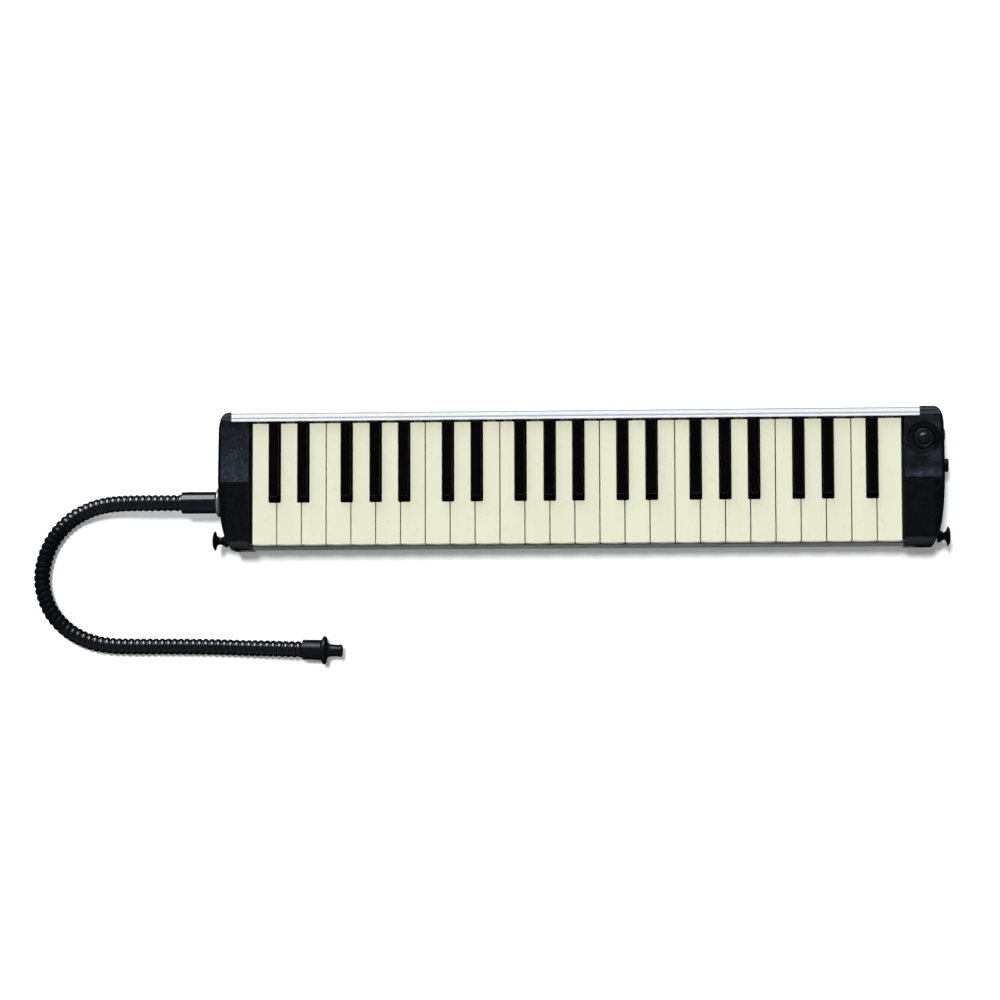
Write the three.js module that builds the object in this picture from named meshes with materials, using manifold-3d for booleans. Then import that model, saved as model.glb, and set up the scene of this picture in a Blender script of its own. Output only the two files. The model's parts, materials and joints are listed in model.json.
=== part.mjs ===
// A 44-key melodica: a slim case with two end covers, an aluminium rail over the tails of the keys,
// a reed chamber behind them, and a flexible blowing hose plugged into the left end.
// Millimetres. +X runs up the scale, +Y to the rail, +Z up. The origin is on the surface that the
// instrument rests on, under the middle of the instrument without its hose.
import * as THREE from 'three';
import { mergeVertices } from 'three/addons/utils/BufferGeometryUtils.js';
import Module from 'manifold-3d';

const wasm = await Module();
wasm.setup();

// ---------------------------------------------------------------- driving dimensions

const WHITE_PITCH = 20;
const WHITE_COUNT = 26;
const KEYBOARD_LEFT_X = -262.15;
const KEY_GAP = 0.8;
const WHITE_FRONT_Y = -52.1;
const KEY_BACK_Y = 46;
const WHITE_TOP_Z = 42.5;
const LIP_BOTTOM_Z = 31;
const SKIRT_BOTTOM_Z = 34;
const TOP_PLATE = 2.2;
const KEY_WALL = 1.6;
const LIP_DEPTH = 2.8;

const BLACK_WIDTH = 9;
const BLACK_TOP_WIDTH = 7.8;
const BLACK_GAP = 0.5;
const BLACK_TOP_Z = 50;
const BLACK_FRONT_Y = -17;
const BLACK_SLOPE = 3.6;
const NOTCH_FRONT_Y = -18.1;
// How far each black key sits from the joint between its two white keys.
const BLACK_OFFSETS = { C: -1.7, D: 1.5, F: -3.4, G: 0, A: 3 };
const NOTES = ['C', 'D', 'E', 'F', 'G', 'A', 'B'];
const FIRST_OCTAVE = 3;

const PIVOT_Y = 28;
const PIVOT_Z = 36.5;
const ROD_RADIUS = 1.5;
const ROD_SLOT = 3.8;
const TAIL_END_Y = 51;
const TAIL_TOP_Z = 39.5;
const TAIL_WIDTH = 6.4;
const PAD_THICKNESS = 2;

const GAP = 0.3;
const CHAMBER_TOP_Z = SKIRT_BOTTOM_Z - GAP;
const CHAMBER_FRONT_Y = 36;
const CHAMBER_REAR_Y = 52.6;
const CHAMBER_BOTTOM_Z = 8.4;
const CHAMBER_WALL = 2;

const BODY_REAR_Y = 55.2;
const COVER_FRONT_Y = -55.2;
const COVER_TOP_Z = 47.5;
const CREASE_Y = -1.7;
const BODY_BOTTOM_Z = 2;
const LEFT_COVER = { side: -1, innerX: -264.8, outerX: -289.8 };
const RIGHT_COVER = { side: 1, innerX: 260, outerX: 291.7 };
const COVER_WALL = 2.4;

const CASE_LEFT_X = LEFT_COVER.innerX + GAP;
const CASE_RIGHT_X = RIGHT_COVER.innerX - GAP;
const CASE_FRONT_Y = -54.4;
const FRONT_WALL_TOP_Z = 25.5;
const FLOOR_TOP_Z = 4.5;
const END_WALL_TOP_Z = 40;
const POST_THICKNESS = 3;
const POST_DEPTH = 6;
// The white keys, counted from 0, that stand over a post for the pivot rod.
const POST_KEYS = [2, 7, 12, 18, 23];
const FOOT_RADIUS = 6;
const FOOT_HEIGHT = 2.5;
const FOOT_PLACES = [[-235, -38], [-235, 38], [235, -38], [235, 38]];

const RAIL_LEFT_X = -278.3;
const RAIL_RIGHT_X = 272;
const RAIL_FRONT_Y = 47.2;
const RAIL_TOP_Z = 48.5;
const RAIL_THICKNESS = 2.5;
const RAIL_LEG_BOTTOM_Z = 41;
const RAIL_LEG_THICKNESS = 2;

const INLET_Y = -16.2;
const INLET_Z = 25;
const COLLAR_OUTER_X = -293.2;
const COLLAR_RADIUS = 11.8;
const INLET_BORE_RADIUS = 6;
const CONNECTOR_END_X = -322.1;
const CONNECTOR_RADIUS = 8.85;

const HOSE_DIAMETER = 13.4;
const HOSE_SIDES = 12;
const HOSE_STEPS = 48;
// Straight out of the connector, down to the surface, once round, and up into the mouthpiece.
const HOSE_ROUTE = [
  [-322.4, -16.2, 25],
  [-336, -16.2, 25],
  [-350, -16.1, 24.5],
  [-364, -16, 22.6],
  [-378, -16.3, 18.9],
  [-391.5, -18, 14.6],
  [-403.5, -21.6, 10.8],
  [-415, -27.4, 8],
  [-425.5, -36.5, 6.9],
  [-433.5, -48, 6.8],
  [-439, -61.5, 6.8],
  [-441, -76, 6.8],
  [-438.8, -90, 6.8],
  [-432.8, -103, 6.8],
  [-423.5, -114.3, 6.8],
  [-411.5, -123, 6.8],
  [-397, -128.8, 6.8],
  [-381, -131.4, 6.8],
  [-361, -132, 6.8],
  [-336, -132.1, 6.8],
  [-311, -132.4, 6.8],
  [-290, -132.9, 6.9],
  [-270, -133.6, 7.9],
  [-250, -134.2, 10.2],
  [-236, -134.7, 11.4],
  [-225.3, -135.1, 11.7],
];
const MOUTHPIECE_PLACE = [-225, -135.1, 11.7];
const MOUTHPIECE_TURN = -2.1;

const KNOB_X = 275.3;
const KNOB_Y = 29.2;
const KNOB_RADIUS = 8.2;
const KNOB_DOME_RADIUS = 4.4;
const KNOB_TOP_Z = 49.6;
const KNOB_SHAFT_RADIUS = 3;
const POCKET_RADIUS = 8.9;
const POCKET_FLOOR_Z = 43.5;
const DRAIN_Y = 9.3;
const DRAIN_Z = 24;
const DRAIN_RADIUS = 5.3;
const JACK_Y = 34;
const JACK_Z = 21;
const JACK_BORE_RADIUS = 3.4;
const JACK_DEPTH = 20;
const STRAP_Y = -47.4;
const STRAP_Z = 25;
const STRAP_END_X = 296.5;
const STRAP_HEAD_RADIUS = 7.8;
const STRAP_SEAT_X = { left: -284.2, right: 286.2 };

// ---------------------------------------------------------------- solids

function toSolid(geometry) {
  const bare = geometry.clone();
  bare.deleteAttribute('normal');
  bare.deleteAttribute('uv');
  const merged = mergeVertices(bare, 1e-4);
  return new wasm.Manifold(new wasm.Mesh({
    numProp: 3,
    vertProperties: new Float32Array(merged.attributes.position.array),
    triVerts: new Uint32Array(merged.index.array),
  }));
}

function toGeometry(solid) {
  const mesh = solid.getMesh();
  const geometry = new THREE.BufferGeometry();
  geometry.setAttribute('position', new THREE.BufferAttribute(mesh.vertProperties, 3));
  geometry.setIndex(new THREE.BufferAttribute(mesh.triVerts, 1));
  geometry.computeVertexNormals();
  return geometry;
}

function box(x0, x1, y0, y1, z0, z1) {
  const geometry = new THREE.BoxGeometry(x1 - x0, y1 - y0, z1 - z0);
  geometry.translate((x0 + x1) / 2, (y0 + y1) / 2, (z0 + z1) / 2);
  return geometry;
}

const solidBox = (...sides) => toSolid(box(...sides));

function extrude(points, depth) {
  const outline = new THREE.Shape(points.map(([u, v]) => new THREE.Vector2(u, v)));
  return new THREE.ExtrudeGeometry(outline, { depth, bevelEnabled: false });
}

// An outline of [y, z] points, drawn out along X from x0 to x1.
function alongX(points, x0, x1) {
  const geometry = extrude(points, x1 - x0);
  const axes = new THREE.Matrix4().makeBasis(
    new THREE.Vector3(0, 1, 0),
    new THREE.Vector3(0, 0, 1),
    new THREE.Vector3(1, 0, 0),
  );
  return geometry.applyMatrix4(axes).translate(x0, 0, 0);
}

// An outline of [x, z] points, drawn out along Y from y0 to y1.
function alongY(points, y0, y1) {
  return extrude(points, y1 - y0).rotateX(Math.PI / 2).translate(0, y1, 0);
}

// An outline of [x, y] points, drawn up from z0 to z1.
function alongZ(points, z0, z1) {
  return extrude(points, z1 - z0).translate(0, 0, z0);
}

// A round piece about the X axis, from [x, radius] points that start and end on the axis or close.
function turnedX(points, segments) {
  const profile = points.map(([x, radius]) => new THREE.Vector2(radius, x));
  return new THREE.LatheGeometry(profile, segments).rotateZ(-Math.PI / 2);
}

// A round piece about the Z axis, from [z, radius] points that start and end on the axis.
function turnedZ(points, segments) {
  const profile = points.map(([z, radius]) => new THREE.Vector2(radius, z));
  return new THREE.LatheGeometry(profile, segments).rotateX(Math.PI / 2);
}

// A plain round bar along X, for holes and bosses.
function barX(x0, x1, y, z, radius, segments) {
  const bar = turnedX([[x0, 0], [x0, radius], [x1, radius], [x1, 0]], segments);
  return toSolid(bar.translate(0, y, z));
}

// A closed skin through outlines that have the same number of points, each at its own height.
function loft(outlines, heights) {
  const count = outlines[0].length;
  const positions = [];
  const faces = [];
  outlines.forEach((outline, level) => {
    outline.forEach((point) => positions.push(point.x, point.y, heights[level]));
  });
  for (let level = 0; level < outlines.length - 1; level += 1) {
    for (let i = 0; i < count; i += 1) {
      const a = level * count + i;
      const b = level * count + ((i + 1) % count);
      faces.push(a, b, b + count);
      faces.push(a, b + count, a + count);
    }
  }
  const last = (outlines.length - 1) * count;
  for (const [a, b, c] of THREE.ShapeUtils.triangulateShape(outlines[0], [])) {
    faces.push(a, c, b);
    faces.push(last + a, last + b, last + c);
  }
  const geometry = new THREE.BufferGeometry();
  geometry.setAttribute('position', new THREE.Float32BufferAttribute(positions, 3));
  geometry.setIndex(faces);
  return geometry;
}

// ---------------------------------------------------------------- materials

const finishes = {
  ivory: { color: 0xe9e8d2, roughness: 0.3, metalness: 0 },
  ebony: { color: 0x0a0a0c, roughness: 0.35, metalness: 0 },
  casePlastic: { color: 0x1c1e20, roughness: 0.5, metalness: 0 },
  coverPlastic: { color: 0x17191e, roughness: 0.35, metalness: 0 },
  aluminium: { color: 0xd5d8da, roughness: 0.25, metalness: 1 },
  steel: { color: 0xb4b6b8, roughness: 0.3, metalness: 1 },
  springBrass: { color: 0xb99a55, roughness: 0.35, metalness: 1 },
  innerPlastic: { color: 0x3a3c40, roughness: 0.6, metalness: 0 },
  chrome: { color: 0xdfe2e5, roughness: 0.12, metalness: 1 },
  glossPlastic: { color: 0x0b0e14, roughness: 0.15, metalness: 0 },
};

function part(name, geometry, finish) {
  const mesh = new THREE.Mesh(geometry, new THREE.MeshStandardMaterial(finishes[finish]));
  mesh.name = name;
  return mesh;
}

// ---------------------------------------------------------------- keys

const whiteNote = (index) => NOTES[index % NOTES.length];
const octaveOf = (index) => FIRST_OCTAVE + Math.floor(index / NOTES.length);

// The middle of the black key after white key `index`, or null where there is none.
function blackCentre(index) {
  const offset = BLACK_OFFSETS[whiteNote(index)];
  if (index < 0 || index >= WHITE_COUNT - 1 || offset === undefined) return null;
  return KEYBOARD_LEFT_X + (index + 1) * WHITE_PITCH + offset;
}

// The two sides of a white key, and of its narrow part between the black keys.
function whiteSides(index) {
  const left = KEYBOARD_LEFT_X + index * WHITE_PITCH + KEY_GAP / 2;
  const right = left + WHITE_PITCH - KEY_GAP;
  const clear = BLACK_WIDTH / 2 + BLACK_GAP;
  const before = index > 0 ? blackCentre(index - 1) : null;
  const after = blackCentre(index);
  return {
    left,
    right,
    rearLeft: before === null ? left : before + clear,
    rearRight: after === null ? right : after - clear,
  };
}

// The arm behind the key that carries its felt pad, and the slot that rides on the pivot rod.
function withTailAndSlot(body, centre) {
  const padTop = SKIRT_BOTTOM_Z + PAD_THICKNESS;
  const sideView = [
    [KEY_BACK_Y - KEY_WALL, SKIRT_BOTTOM_Z],
    [TAIL_END_Y - 1, SKIRT_BOTTOM_Z],
    [TAIL_END_Y - 1, padTop],
    [TAIL_END_Y, padTop],
    [TAIL_END_Y, TAIL_TOP_Z],
    [KEY_BACK_Y - KEY_WALL, TAIL_TOP_Z],
  ];
  const tail = toSolid(alongX(sideView, centre - TAIL_WIDTH / 2, centre + TAIL_WIDTH / 2));
  const slot = solidBox(
    centre - WHITE_PITCH, centre + WHITE_PITCH,
    PIVOT_Y - ROD_SLOT / 2, PIVOT_Y + ROD_SLOT / 2,
    LIP_BOTTOM_Z, PIVOT_Z + ROD_SLOT / 2,
  );
  return body.subtract(slot).add(tail);
}

// The plan of a white key: full width at the front, and narrow between the black keys.
function whitePlan({ left, right, rearLeft, rearRight }, inset, front, notch, back) {
  const corners = [[left + inset, front], [right - inset, front]];
  if (rearRight < right) corners.push([right - inset, notch], [rearRight - inset, notch]);
  corners.push([rearRight - inset, back], [rearLeft + inset, back]);
  if (rearLeft > left) corners.push([rearLeft + inset, notch], [left + inset, notch]);
  return corners;
}

function whiteKey(index) {
  const sides = whiteSides(index);
  const outer = whitePlan(sides, 0, WHITE_FRONT_Y, NOTCH_FRONT_Y, KEY_BACK_Y);
  const lipBack = WHITE_FRONT_Y + LIP_DEPTH;
  const inner = whitePlan(sides, KEY_WALL, lipBack, NOTCH_FRONT_Y - KEY_WALL, KEY_BACK_Y - KEY_WALL);
  const blank = alongZ(outer, LIP_BOTTOM_Z, WHITE_TOP_Z);
  const hollow = alongZ(inner, LIP_BOTTOM_Z - 1, WHITE_TOP_Z - TOP_PLATE);
  const underSkirts = solidBox(
    sides.left - 1, sides.right + 1,
    lipBack + KEY_WALL, KEY_BACK_Y + 1,
    LIP_BOTTOM_Z - 1, SKIRT_BOTTOM_Z,
  );
  const shell = toSolid(blank).subtract(toSolid(hollow)).subtract(underSkirts);
  const solid = withTailAndSlot(shell, (sides.rearLeft + sides.rearRight) / 2);
  const number = String(index + 1).padStart(2, '0');
  const name = `white_key_${number}_${whiteNote(index).toLowerCase()}${octaveOf(index)}`;
  return part(name, toGeometry(solid), 'ivory');
}

function blackKey(index, number) {
  const centre = blackCentre(index);
  const half = BLACK_WIDTH / 2;
  const topHalf = BLACK_TOP_WIDTH / 2;
  const edgeZ = WHITE_TOP_Z;
  const crossSection = [
    [centre - half, SKIRT_BOTTOM_Z],
    [centre + half, SKIRT_BOTTOM_Z],
    [centre + half, edgeZ],
    [centre + topHalf, BLACK_TOP_Z],
    [centre - topHalf, BLACK_TOP_Z],
    [centre - half, edgeZ],
  ];
  const sideView = [
    [BLACK_FRONT_Y, SKIRT_BOTTOM_Z],
    [KEY_BACK_Y, SKIRT_BOTTOM_Z],
    [KEY_BACK_Y, BLACK_TOP_Z],
    [BLACK_FRONT_Y + BLACK_SLOPE, BLACK_TOP_Z],
    [BLACK_FRONT_Y, edgeZ],
  ];
  const blank = toSolid(alongY(crossSection, BLACK_FRONT_Y - 1, KEY_BACK_Y + 1));
  const sides = toSolid(alongX(sideView, centre - half - 1, centre + half + 1));
  const hollow = solidBox(
    centre - topHalf + KEY_WALL / 2, centre + topHalf - KEY_WALL / 2,
    BLACK_FRONT_Y + BLACK_SLOPE + KEY_WALL, KEY_BACK_Y - KEY_WALL,
    SKIRT_BOTTOM_Z - 1, BLACK_TOP_Z - TOP_PLATE,
  );
  const solid = withTailAndSlot(blank.intersect(sides).subtract(hollow), centre);
  const note = `${whiteNote(index).toLowerCase()}_sharp${octaveOf(index)}`;
  return part(`black_key_${String(number).padStart(2, '0')}_${note}`, toGeometry(solid), 'ebony');
}

// The middle of every key's tail, from the lowest note up.
function tailCentres() {
  const centres = [];
  for (let index = 0; index < WHITE_COUNT; index += 1) {
    const { rearLeft, rearRight } = whiteSides(index);
    centres.push((rearLeft + rearRight) / 2);
    const black = blackCentre(index);
    if (black !== null) centres.push(black);
  }
  return centres;
}

function keys() {
  const group = new THREE.Group();
  let blackNumber = 0;
  for (let index = 0; index < WHITE_COUNT; index += 1) {
    group.add(whiteKey(index));
    if (blackCentre(index) === null) continue;
    blackNumber += 1;
    group.add(blackKey(index, blackNumber));
  }
  return group;
}

// ---------------------------------------------------------------- case, covers and rail

// The tray: floor, low front wall under the key lips, rear wall, end walls, rod posts and feet.
function lowerCase() {
  const rearTop = RAIL_LEG_BOTTOM_Z - GAP;
  const trayProfile = [
    [-52.5, FRONT_WALL_TOP_Z],
    [CASE_FRONT_Y, 19],
    [CASE_FRONT_Y, 7],
    [-50.5, BODY_BOTTOM_Z],
    [50.5, BODY_BOTTOM_Z],
    [BODY_REAR_Y, 7],
    [BODY_REAR_Y, rearTop],
    [53, rearTop],
    [53, 8],
    [50, FLOOR_TOP_Z],
    [-49.5, FLOOR_TOP_Z],
    [-52, 8],
    [-52, 18],
    [-51, FRONT_WALL_TOP_Z],
  ];
  let solid = toSolid(alongX(trayProfile, CASE_LEFT_X, CASE_RIGHT_X));
  for (const [x0, x1] of [[CASE_LEFT_X, CASE_LEFT_X + 1.5], [CASE_RIGHT_X - 1.5, CASE_RIGHT_X]]) {
    solid = solid.add(endWall(x0, x1));
  }
  for (const index of POST_KEYS) {
    solid = solid.add(rodPost(index));
  }
  for (const [x, y] of FOOT_PLACES) {
    const foot = turnedZ([[0, 0], [0, FOOT_RADIUS], [FOOT_HEIGHT, FOOT_RADIUS], [FOOT_HEIGHT, 0]], 16);
    solid = solid.add(toSolid(foot.translate(x, y, 0)));
  }
  return part('lower_case', toGeometry(solid), 'casePlastic');
}

// A wall that closes one end of the tray, notched for the end of the pivot rod.
function endWall(x0, x1) {
  const wall = solidBox(x0, x1, -51.5, 34.5, FLOOR_TOP_Z - 0.5, END_WALL_TOP_Z);
  const notchBottom = PIVOT_Z - ROD_RADIUS - GAP;
  const notch = solidBox(
    x0 - 1, x1 + 1,
    PIVOT_Y - ROD_SLOT / 2, PIVOT_Y + ROD_SLOT / 2,
    notchBottom, END_WALL_TOP_Z + 1,
  );
  return wall.subtract(notch);
}

// A post on the floor that carries the rod under the middle of a white key.
function rodPost(index) {
  const { rearLeft, rearRight } = whiteSides(index);
  const middle = (rearLeft + rearRight) / 2;
  return solidBox(
    middle - POST_THICKNESS / 2, middle + POST_THICKNESS / 2,
    PIVOT_Y - POST_DEPTH / 2, PIVOT_Y + POST_DEPTH / 2,
    FLOOR_TOP_Z - 0.5, PIVOT_Z - ROD_RADIUS - GAP,
  );
}

// The plan of an end cover, drawn in by `inset`: a bulging outer side between rounded corners.
function coverPlan({ side, innerX, outerX }, inset) {
  const outer = outerX - side * inset;
  const rear = BODY_REAR_Y - inset;
  const front = COVER_FRONT_Y + inset;
  const plan = new THREE.Shape();
  plan.moveTo(innerX, rear);
  plan.lineTo(outer - side * 9, rear);
  plan.quadraticCurveTo(outer - side * 1.6, rear, outer - side * 0.5, rear - 13);
  plan.quadraticCurveTo(outer, 20, outer, 4);
  plan.quadraticCurveTo(outer, -16, outer - side * 2.2, -33);
  plan.quadraticCurveTo(outer - side * 3.6, -45, outer - side * 9.5, front);
  plan.lineTo(innerX, front);
  const points = plan.getPoints(4);
  return THREE.ShapeUtils.isClockWise(points) ? points.reverse() : points;
}

function coverSolid(cover) {
  const levels = [[BODY_BOTTOM_Z, 2.6], [7, 0], [40, 0], [44.5, 1.4], [COVER_TOP_Z, 4.4]];
  const outlines = levels.map(([, inset]) => coverPlan(cover, inset));
  const skin = toSolid(loft(outlines, levels.map(([z]) => z)));
  // The rear half of the top is level, and the front half falls away from the crease.
  const sideView = [
    [-58, 0],
    [58, 0],
    [58, COVER_TOP_Z],
    [CREASE_Y, COVER_TOP_Z],
    [-49, 43],
    [-53.4, 40.4],
    [COVER_FRONT_Y, 36.5],
    [-58, 36.5],
  ];
  const x0 = Math.min(cover.innerX, cover.outerX) - 1;
  const x1 = Math.max(cover.innerX, cover.outerX) + 1;
  const shaped = skin.intersect(toSolid(alongX(sideView, x0, x1)));
  const hollowPlan = coverPlan(cover, COVER_WALL + 0.2);
  const hollow = toSolid(loft([hollowPlan, hollowPlan], [BODY_BOTTOM_Z + COVER_WALL, 40.5]));
  const room = [[-52, 0], [50.5, 0], [50.5, 40.5], [-30, 40.5], [-52, 36]];
  const open = solidBox(cover.innerX - 3, cover.innerX + 3, -52, 50.5, BODY_BOTTOM_Z + COVER_WALL, 36);
  return shaped
    .subtract(hollow.intersect(toSolid(alongX(room, x0, x1))))
    .subtract(open)
    .subtract(railRebate(cover));
}

// The step in a cover's rear corner that takes the end of the rail.
function railRebate({ side, innerX }) {
  const end = side < 0 ? RAIL_LEFT_X - GAP : RAIL_RIGHT_X + GAP;
  const [x0, x1] = side < 0 ? [end, innerX + 1] : [innerX - 1, end];
  const under = RAIL_TOP_Z - RAIL_THICKNESS - GAP;
  const shelf = solidBox(x0, x1, RAIL_FRONT_Y - GAP, BODY_REAR_Y + 1, under, RAIL_TOP_Z + 1);
  const legFront = BODY_REAR_Y - RAIL_LEG_THICKNESS - GAP;
  return shelf.add(solidBox(x0, x1, legFront, BODY_REAR_Y + 1, RAIL_LEG_BOTTOM_Z - GAP, RAIL_TOP_Z));
}

function leftEndCover() {
  const spigotHole = barX(-295, -280, INLET_Y, INLET_Z, 9.9, 20);
  const strapSeat = barX(-300, STRAP_SEAT_X.left + GAP, STRAP_Y, STRAP_Z, 6, 16);
  const solid = coverSolid(LEFT_COVER).subtract(spigotHole).subtract(strapSeat);
  return part('left_end_cover', toGeometry(solid), 'coverPlastic');
}

function rightEndCover() {
  const pocket = toSolid(turnedZ([
    [POCKET_FLOOR_Z, 0],
    [POCKET_FLOOR_Z, POCKET_RADIUS],
    [COVER_TOP_Z + 1, POCKET_RADIUS],
    [COVER_TOP_Z + 1, 0],
  ], 28).translate(KNOB_X, KNOB_Y, 0));
  const shaft = turnedZ([
    [38, 0],
    [38, KNOB_SHAFT_RADIUS + 0.7],
    [45, KNOB_SHAFT_RADIUS + 0.7],
    [45, 0],
  ], 14);
  const shaftHole = toSolid(shaft.translate(KNOB_X, KNOB_Y, 0));
  const drainHole = barX(280, 300, DRAIN_Y, DRAIN_Z, DRAIN_RADIUS + 0.5, 18);
  const jackEnd = RIGHT_COVER.outerX;
  const jackBush = barX(jackEnd - JACK_DEPTH, jackEnd - 1.2, JACK_Y, JACK_Z, 6, 16);
  const jackBore = barX(jackEnd - JACK_DEPTH + 2, jackEnd + 2, JACK_Y, JACK_Z, JACK_BORE_RADIUS, 16);
  const strapSeat = barX(STRAP_SEAT_X.right - GAP, 300, STRAP_Y, STRAP_Z, 6, 16);
  const solid = coverSolid(RIGHT_COVER)
    .add(jackBush)
    .subtract(jackBore)
    .subtract(drainHole)
    .subtract(strapSeat)
    .subtract(pocket)
    .subtract(shaftHole);
  return part('right_end_cover', toGeometry(solid), 'coverPlastic');
}

// An angle section: a grooved strip over the key tails, rounded into a leg down the back.
function topRail() {
  const under = RAIL_TOP_Z - RAIL_THICKNESS;
  const legFront = BODY_REAR_Y - RAIL_LEG_THICKNESS;
  const section = [
    [RAIL_FRONT_Y, under],
    [RAIL_FRONT_Y, RAIL_TOP_Z - 0.4],
    [RAIL_FRONT_Y + 0.5, RAIL_TOP_Z],
    [50.4, RAIL_TOP_Z],
    [50.7, RAIL_TOP_Z - 0.5],
    [51.1, RAIL_TOP_Z - 0.5],
    [51.4, RAIL_TOP_Z],
    [53.6, RAIL_TOP_Z],
    [54.8, RAIL_TOP_Z - 0.5],
    [BODY_REAR_Y, RAIL_TOP_Z - 1.7],
    [BODY_REAR_Y, RAIL_LEG_BOTTOM_Z],
    [legFront, RAIL_LEG_BOTTOM_Z],
    [legFront, under],
  ].reverse();
  return part('top_rail', alongX(section, RAIL_LEFT_X, RAIL_RIGHT_X), 'aluminium');
}

// ---------------------------------------------------------------- works inside

function pivotRod() {
  const x0 = CASE_LEFT_X + 0.2;
  const x1 = CASE_RIGHT_X - 0.2;
  const rod = turnedX([[x0, 0], [x0, ROD_RADIUS], [x1, ROD_RADIUS], [x1, 0]], 12);
  return part('key_pivot_rod', rod.translate(0, PIVOT_Y, PIVOT_Z), 'steel');
}

// One comb of leaf springs under the rail: a finger over each key's tail.
function keySprings() {
  const stripBottom = RAIL_TOP_Z - RAIL_THICKNESS - GAP - 0.6;
  let solid = solidBox(CASE_LEFT_X, CASE_RIGHT_X, 49.2, 52.7, stripBottom, stripBottom + 0.6);
  const finger = [
    [50, stripBottom + 0.05],
    [47.2, 41.2],
    [48, 41],
    [50.6, stripBottom + 0.05],
  ];
  for (const centre of tailCentres()) {
    solid = solid.add(toSolid(alongX(finger, centre - 1.8, centre + 1.8)));
  }
  return part('key_springs', toGeometry(solid), 'steel');
}

// The air box: a duct down the left cover, and a valve hole under every key's pad.
function reedChamber() {
  const wall = CHAMBER_WALL;
  const ductX = [-281, -265];
  const ductY = [-26, 50.2];
  const ductBottom = 10;
  const right = 257.9;
  const main = solidBox(-264.4, right, CHAMBER_FRONT_Y, CHAMBER_REAR_Y, CHAMBER_BOTTOM_Z, CHAMBER_TOP_Z);
  const duct = solidBox(...ductX, ...ductY, ductBottom, CHAMBER_TOP_Z);
  const bridge = solidBox(ductX[0], -264, CHAMBER_FRONT_Y, ductY[1], ductBottom, CHAMBER_TOP_Z);
  const ceiling = CHAMBER_TOP_Z - wall;
  const mainAir = solidBox(
    -262.4, right - wall,
    CHAMBER_FRONT_Y + wall, CHAMBER_REAR_Y - wall,
    CHAMBER_BOTTOM_Z + wall, ceiling,
  );
  const ductAir = solidBox(
    ductX[0] + wall, ductX[1] - wall,
    ductY[0] + wall, ductY[1] - wall,
    ductBottom + wall, ceiling,
  );
  const bridgeAir = solidBox(
    ductX[0] + wall, -260,
    CHAMBER_FRONT_Y + wall, ductY[1] - wall,
    ductBottom + wall, ceiling,
  );
  const inlet = barX(ductX[0] - 1, ductX[0] + wall + 1, INLET_Y, INLET_Z, 5, 14);
  let solid = main.add(duct).add(bridge);
  for (const air of [mainAir, ductAir, bridgeAir, inlet]) {
    solid = solid.subtract(air);
  }
  for (const centre of tailCentres()) {
    const valve = solidBox(centre - 2.4, centre + 2.4, 44, 49, ceiling - 1, CHAMBER_TOP_Z + 1);
    solid = solid.subtract(valve);
  }
  return part('reed_chamber', toGeometry(solid), 'innerPlastic');
}

// The brass plate inside the air box, with a tongue for each note, shorter as the notes rise.
function reedPlate() {
  const plateTop = 19.4;
  const longest = 10.4;
  const shortest = 5;
  const rear = 49.6;
  let solid = solidBox(-262, 255.5, 38.4, 50.2, 18, plateTop);
  const centres = tailCentres();
  centres.forEach((centre, note) => {
    const length = THREE.MathUtils.lerp(longest, shortest, note / (centres.length - 1));
    const tongue = solidBox(
      centre - 1.6, centre + 1.6,
      rear - length, rear,
      plateTop - 0.1, plateTop + 0.6,
    );
    solid = solid.add(tongue);
  });
  return part('reed_plate', toGeometry(solid), 'springBrass');
}

// ---------------------------------------------------------------- inlet, hose and mouthpiece

function inletCollar() {
  const ring = turnedX([
    [COLLAR_OUTER_X, INLET_BORE_RADIUS],
    [COLLAR_OUTER_X, COLLAR_RADIUS - 0.6],
    [COLLAR_OUTER_X + 0.6, COLLAR_RADIUS],
    [-291.2, COLLAR_RADIUS],
    [-290.6, COLLAR_RADIUS - 0.6],
    [-290.6, 9.4],
    [-282, 9.4],
    [-282, INLET_BORE_RADIUS],
    [COLLAR_OUTER_X, INLET_BORE_RADIUS],
  ], 16);
  return part('inlet_collar', ring.translate(0, INLET_Y, INLET_Z), 'chrome');
}

// A sleeve on the hose with a plug that pushes into the collar, and an air way through both.
function hoseConnector() {
  const shoulder = COLLAR_OUTER_X - GAP;
  const airWay = 3.6;
  const sleeve = turnedX([
    [CONNECTOR_END_X, airWay],
    [CONNECTOR_END_X, CONNECTOR_RADIUS - 1.6],
    [CONNECTOR_END_X + 1.8, CONNECTOR_RADIUS],
    [shoulder - 1.4, CONNECTOR_RADIUS],
    [shoulder, CONNECTOR_RADIUS - 1.2],
    [shoulder, 5.5],
    [-284, 5.5],
    [-283.2, 4.9],
    [-283.2, airWay],
    [CONNECTOR_END_X, airWay],
  ], 16);
  return part('hose_connector', sleeve.translate(0, INLET_Y, INLET_Z), 'glossPlastic');
}

function hose() {
  const corners = Array.from({ length: HOSE_SIDES }, (_, i) => {
    const angle = (i / HOSE_SIDES) * Math.PI * 2;
    return new THREE.Vector2(Math.cos(angle), Math.sin(angle)).multiplyScalar(HOSE_DIAMETER / 2);
  });
  const path = new THREE.CatmullRomCurve3(HOSE_ROUTE.map((point) => new THREE.Vector3(...point)));
  const tube = new THREE.ExtrudeGeometry(new THREE.Shape(corners), {
    steps: HOSE_STEPS,
    bevelEnabled: false,
    extrudePath: path,
  });
  return part('hose', tube, 'glossPlastic');
}

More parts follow.
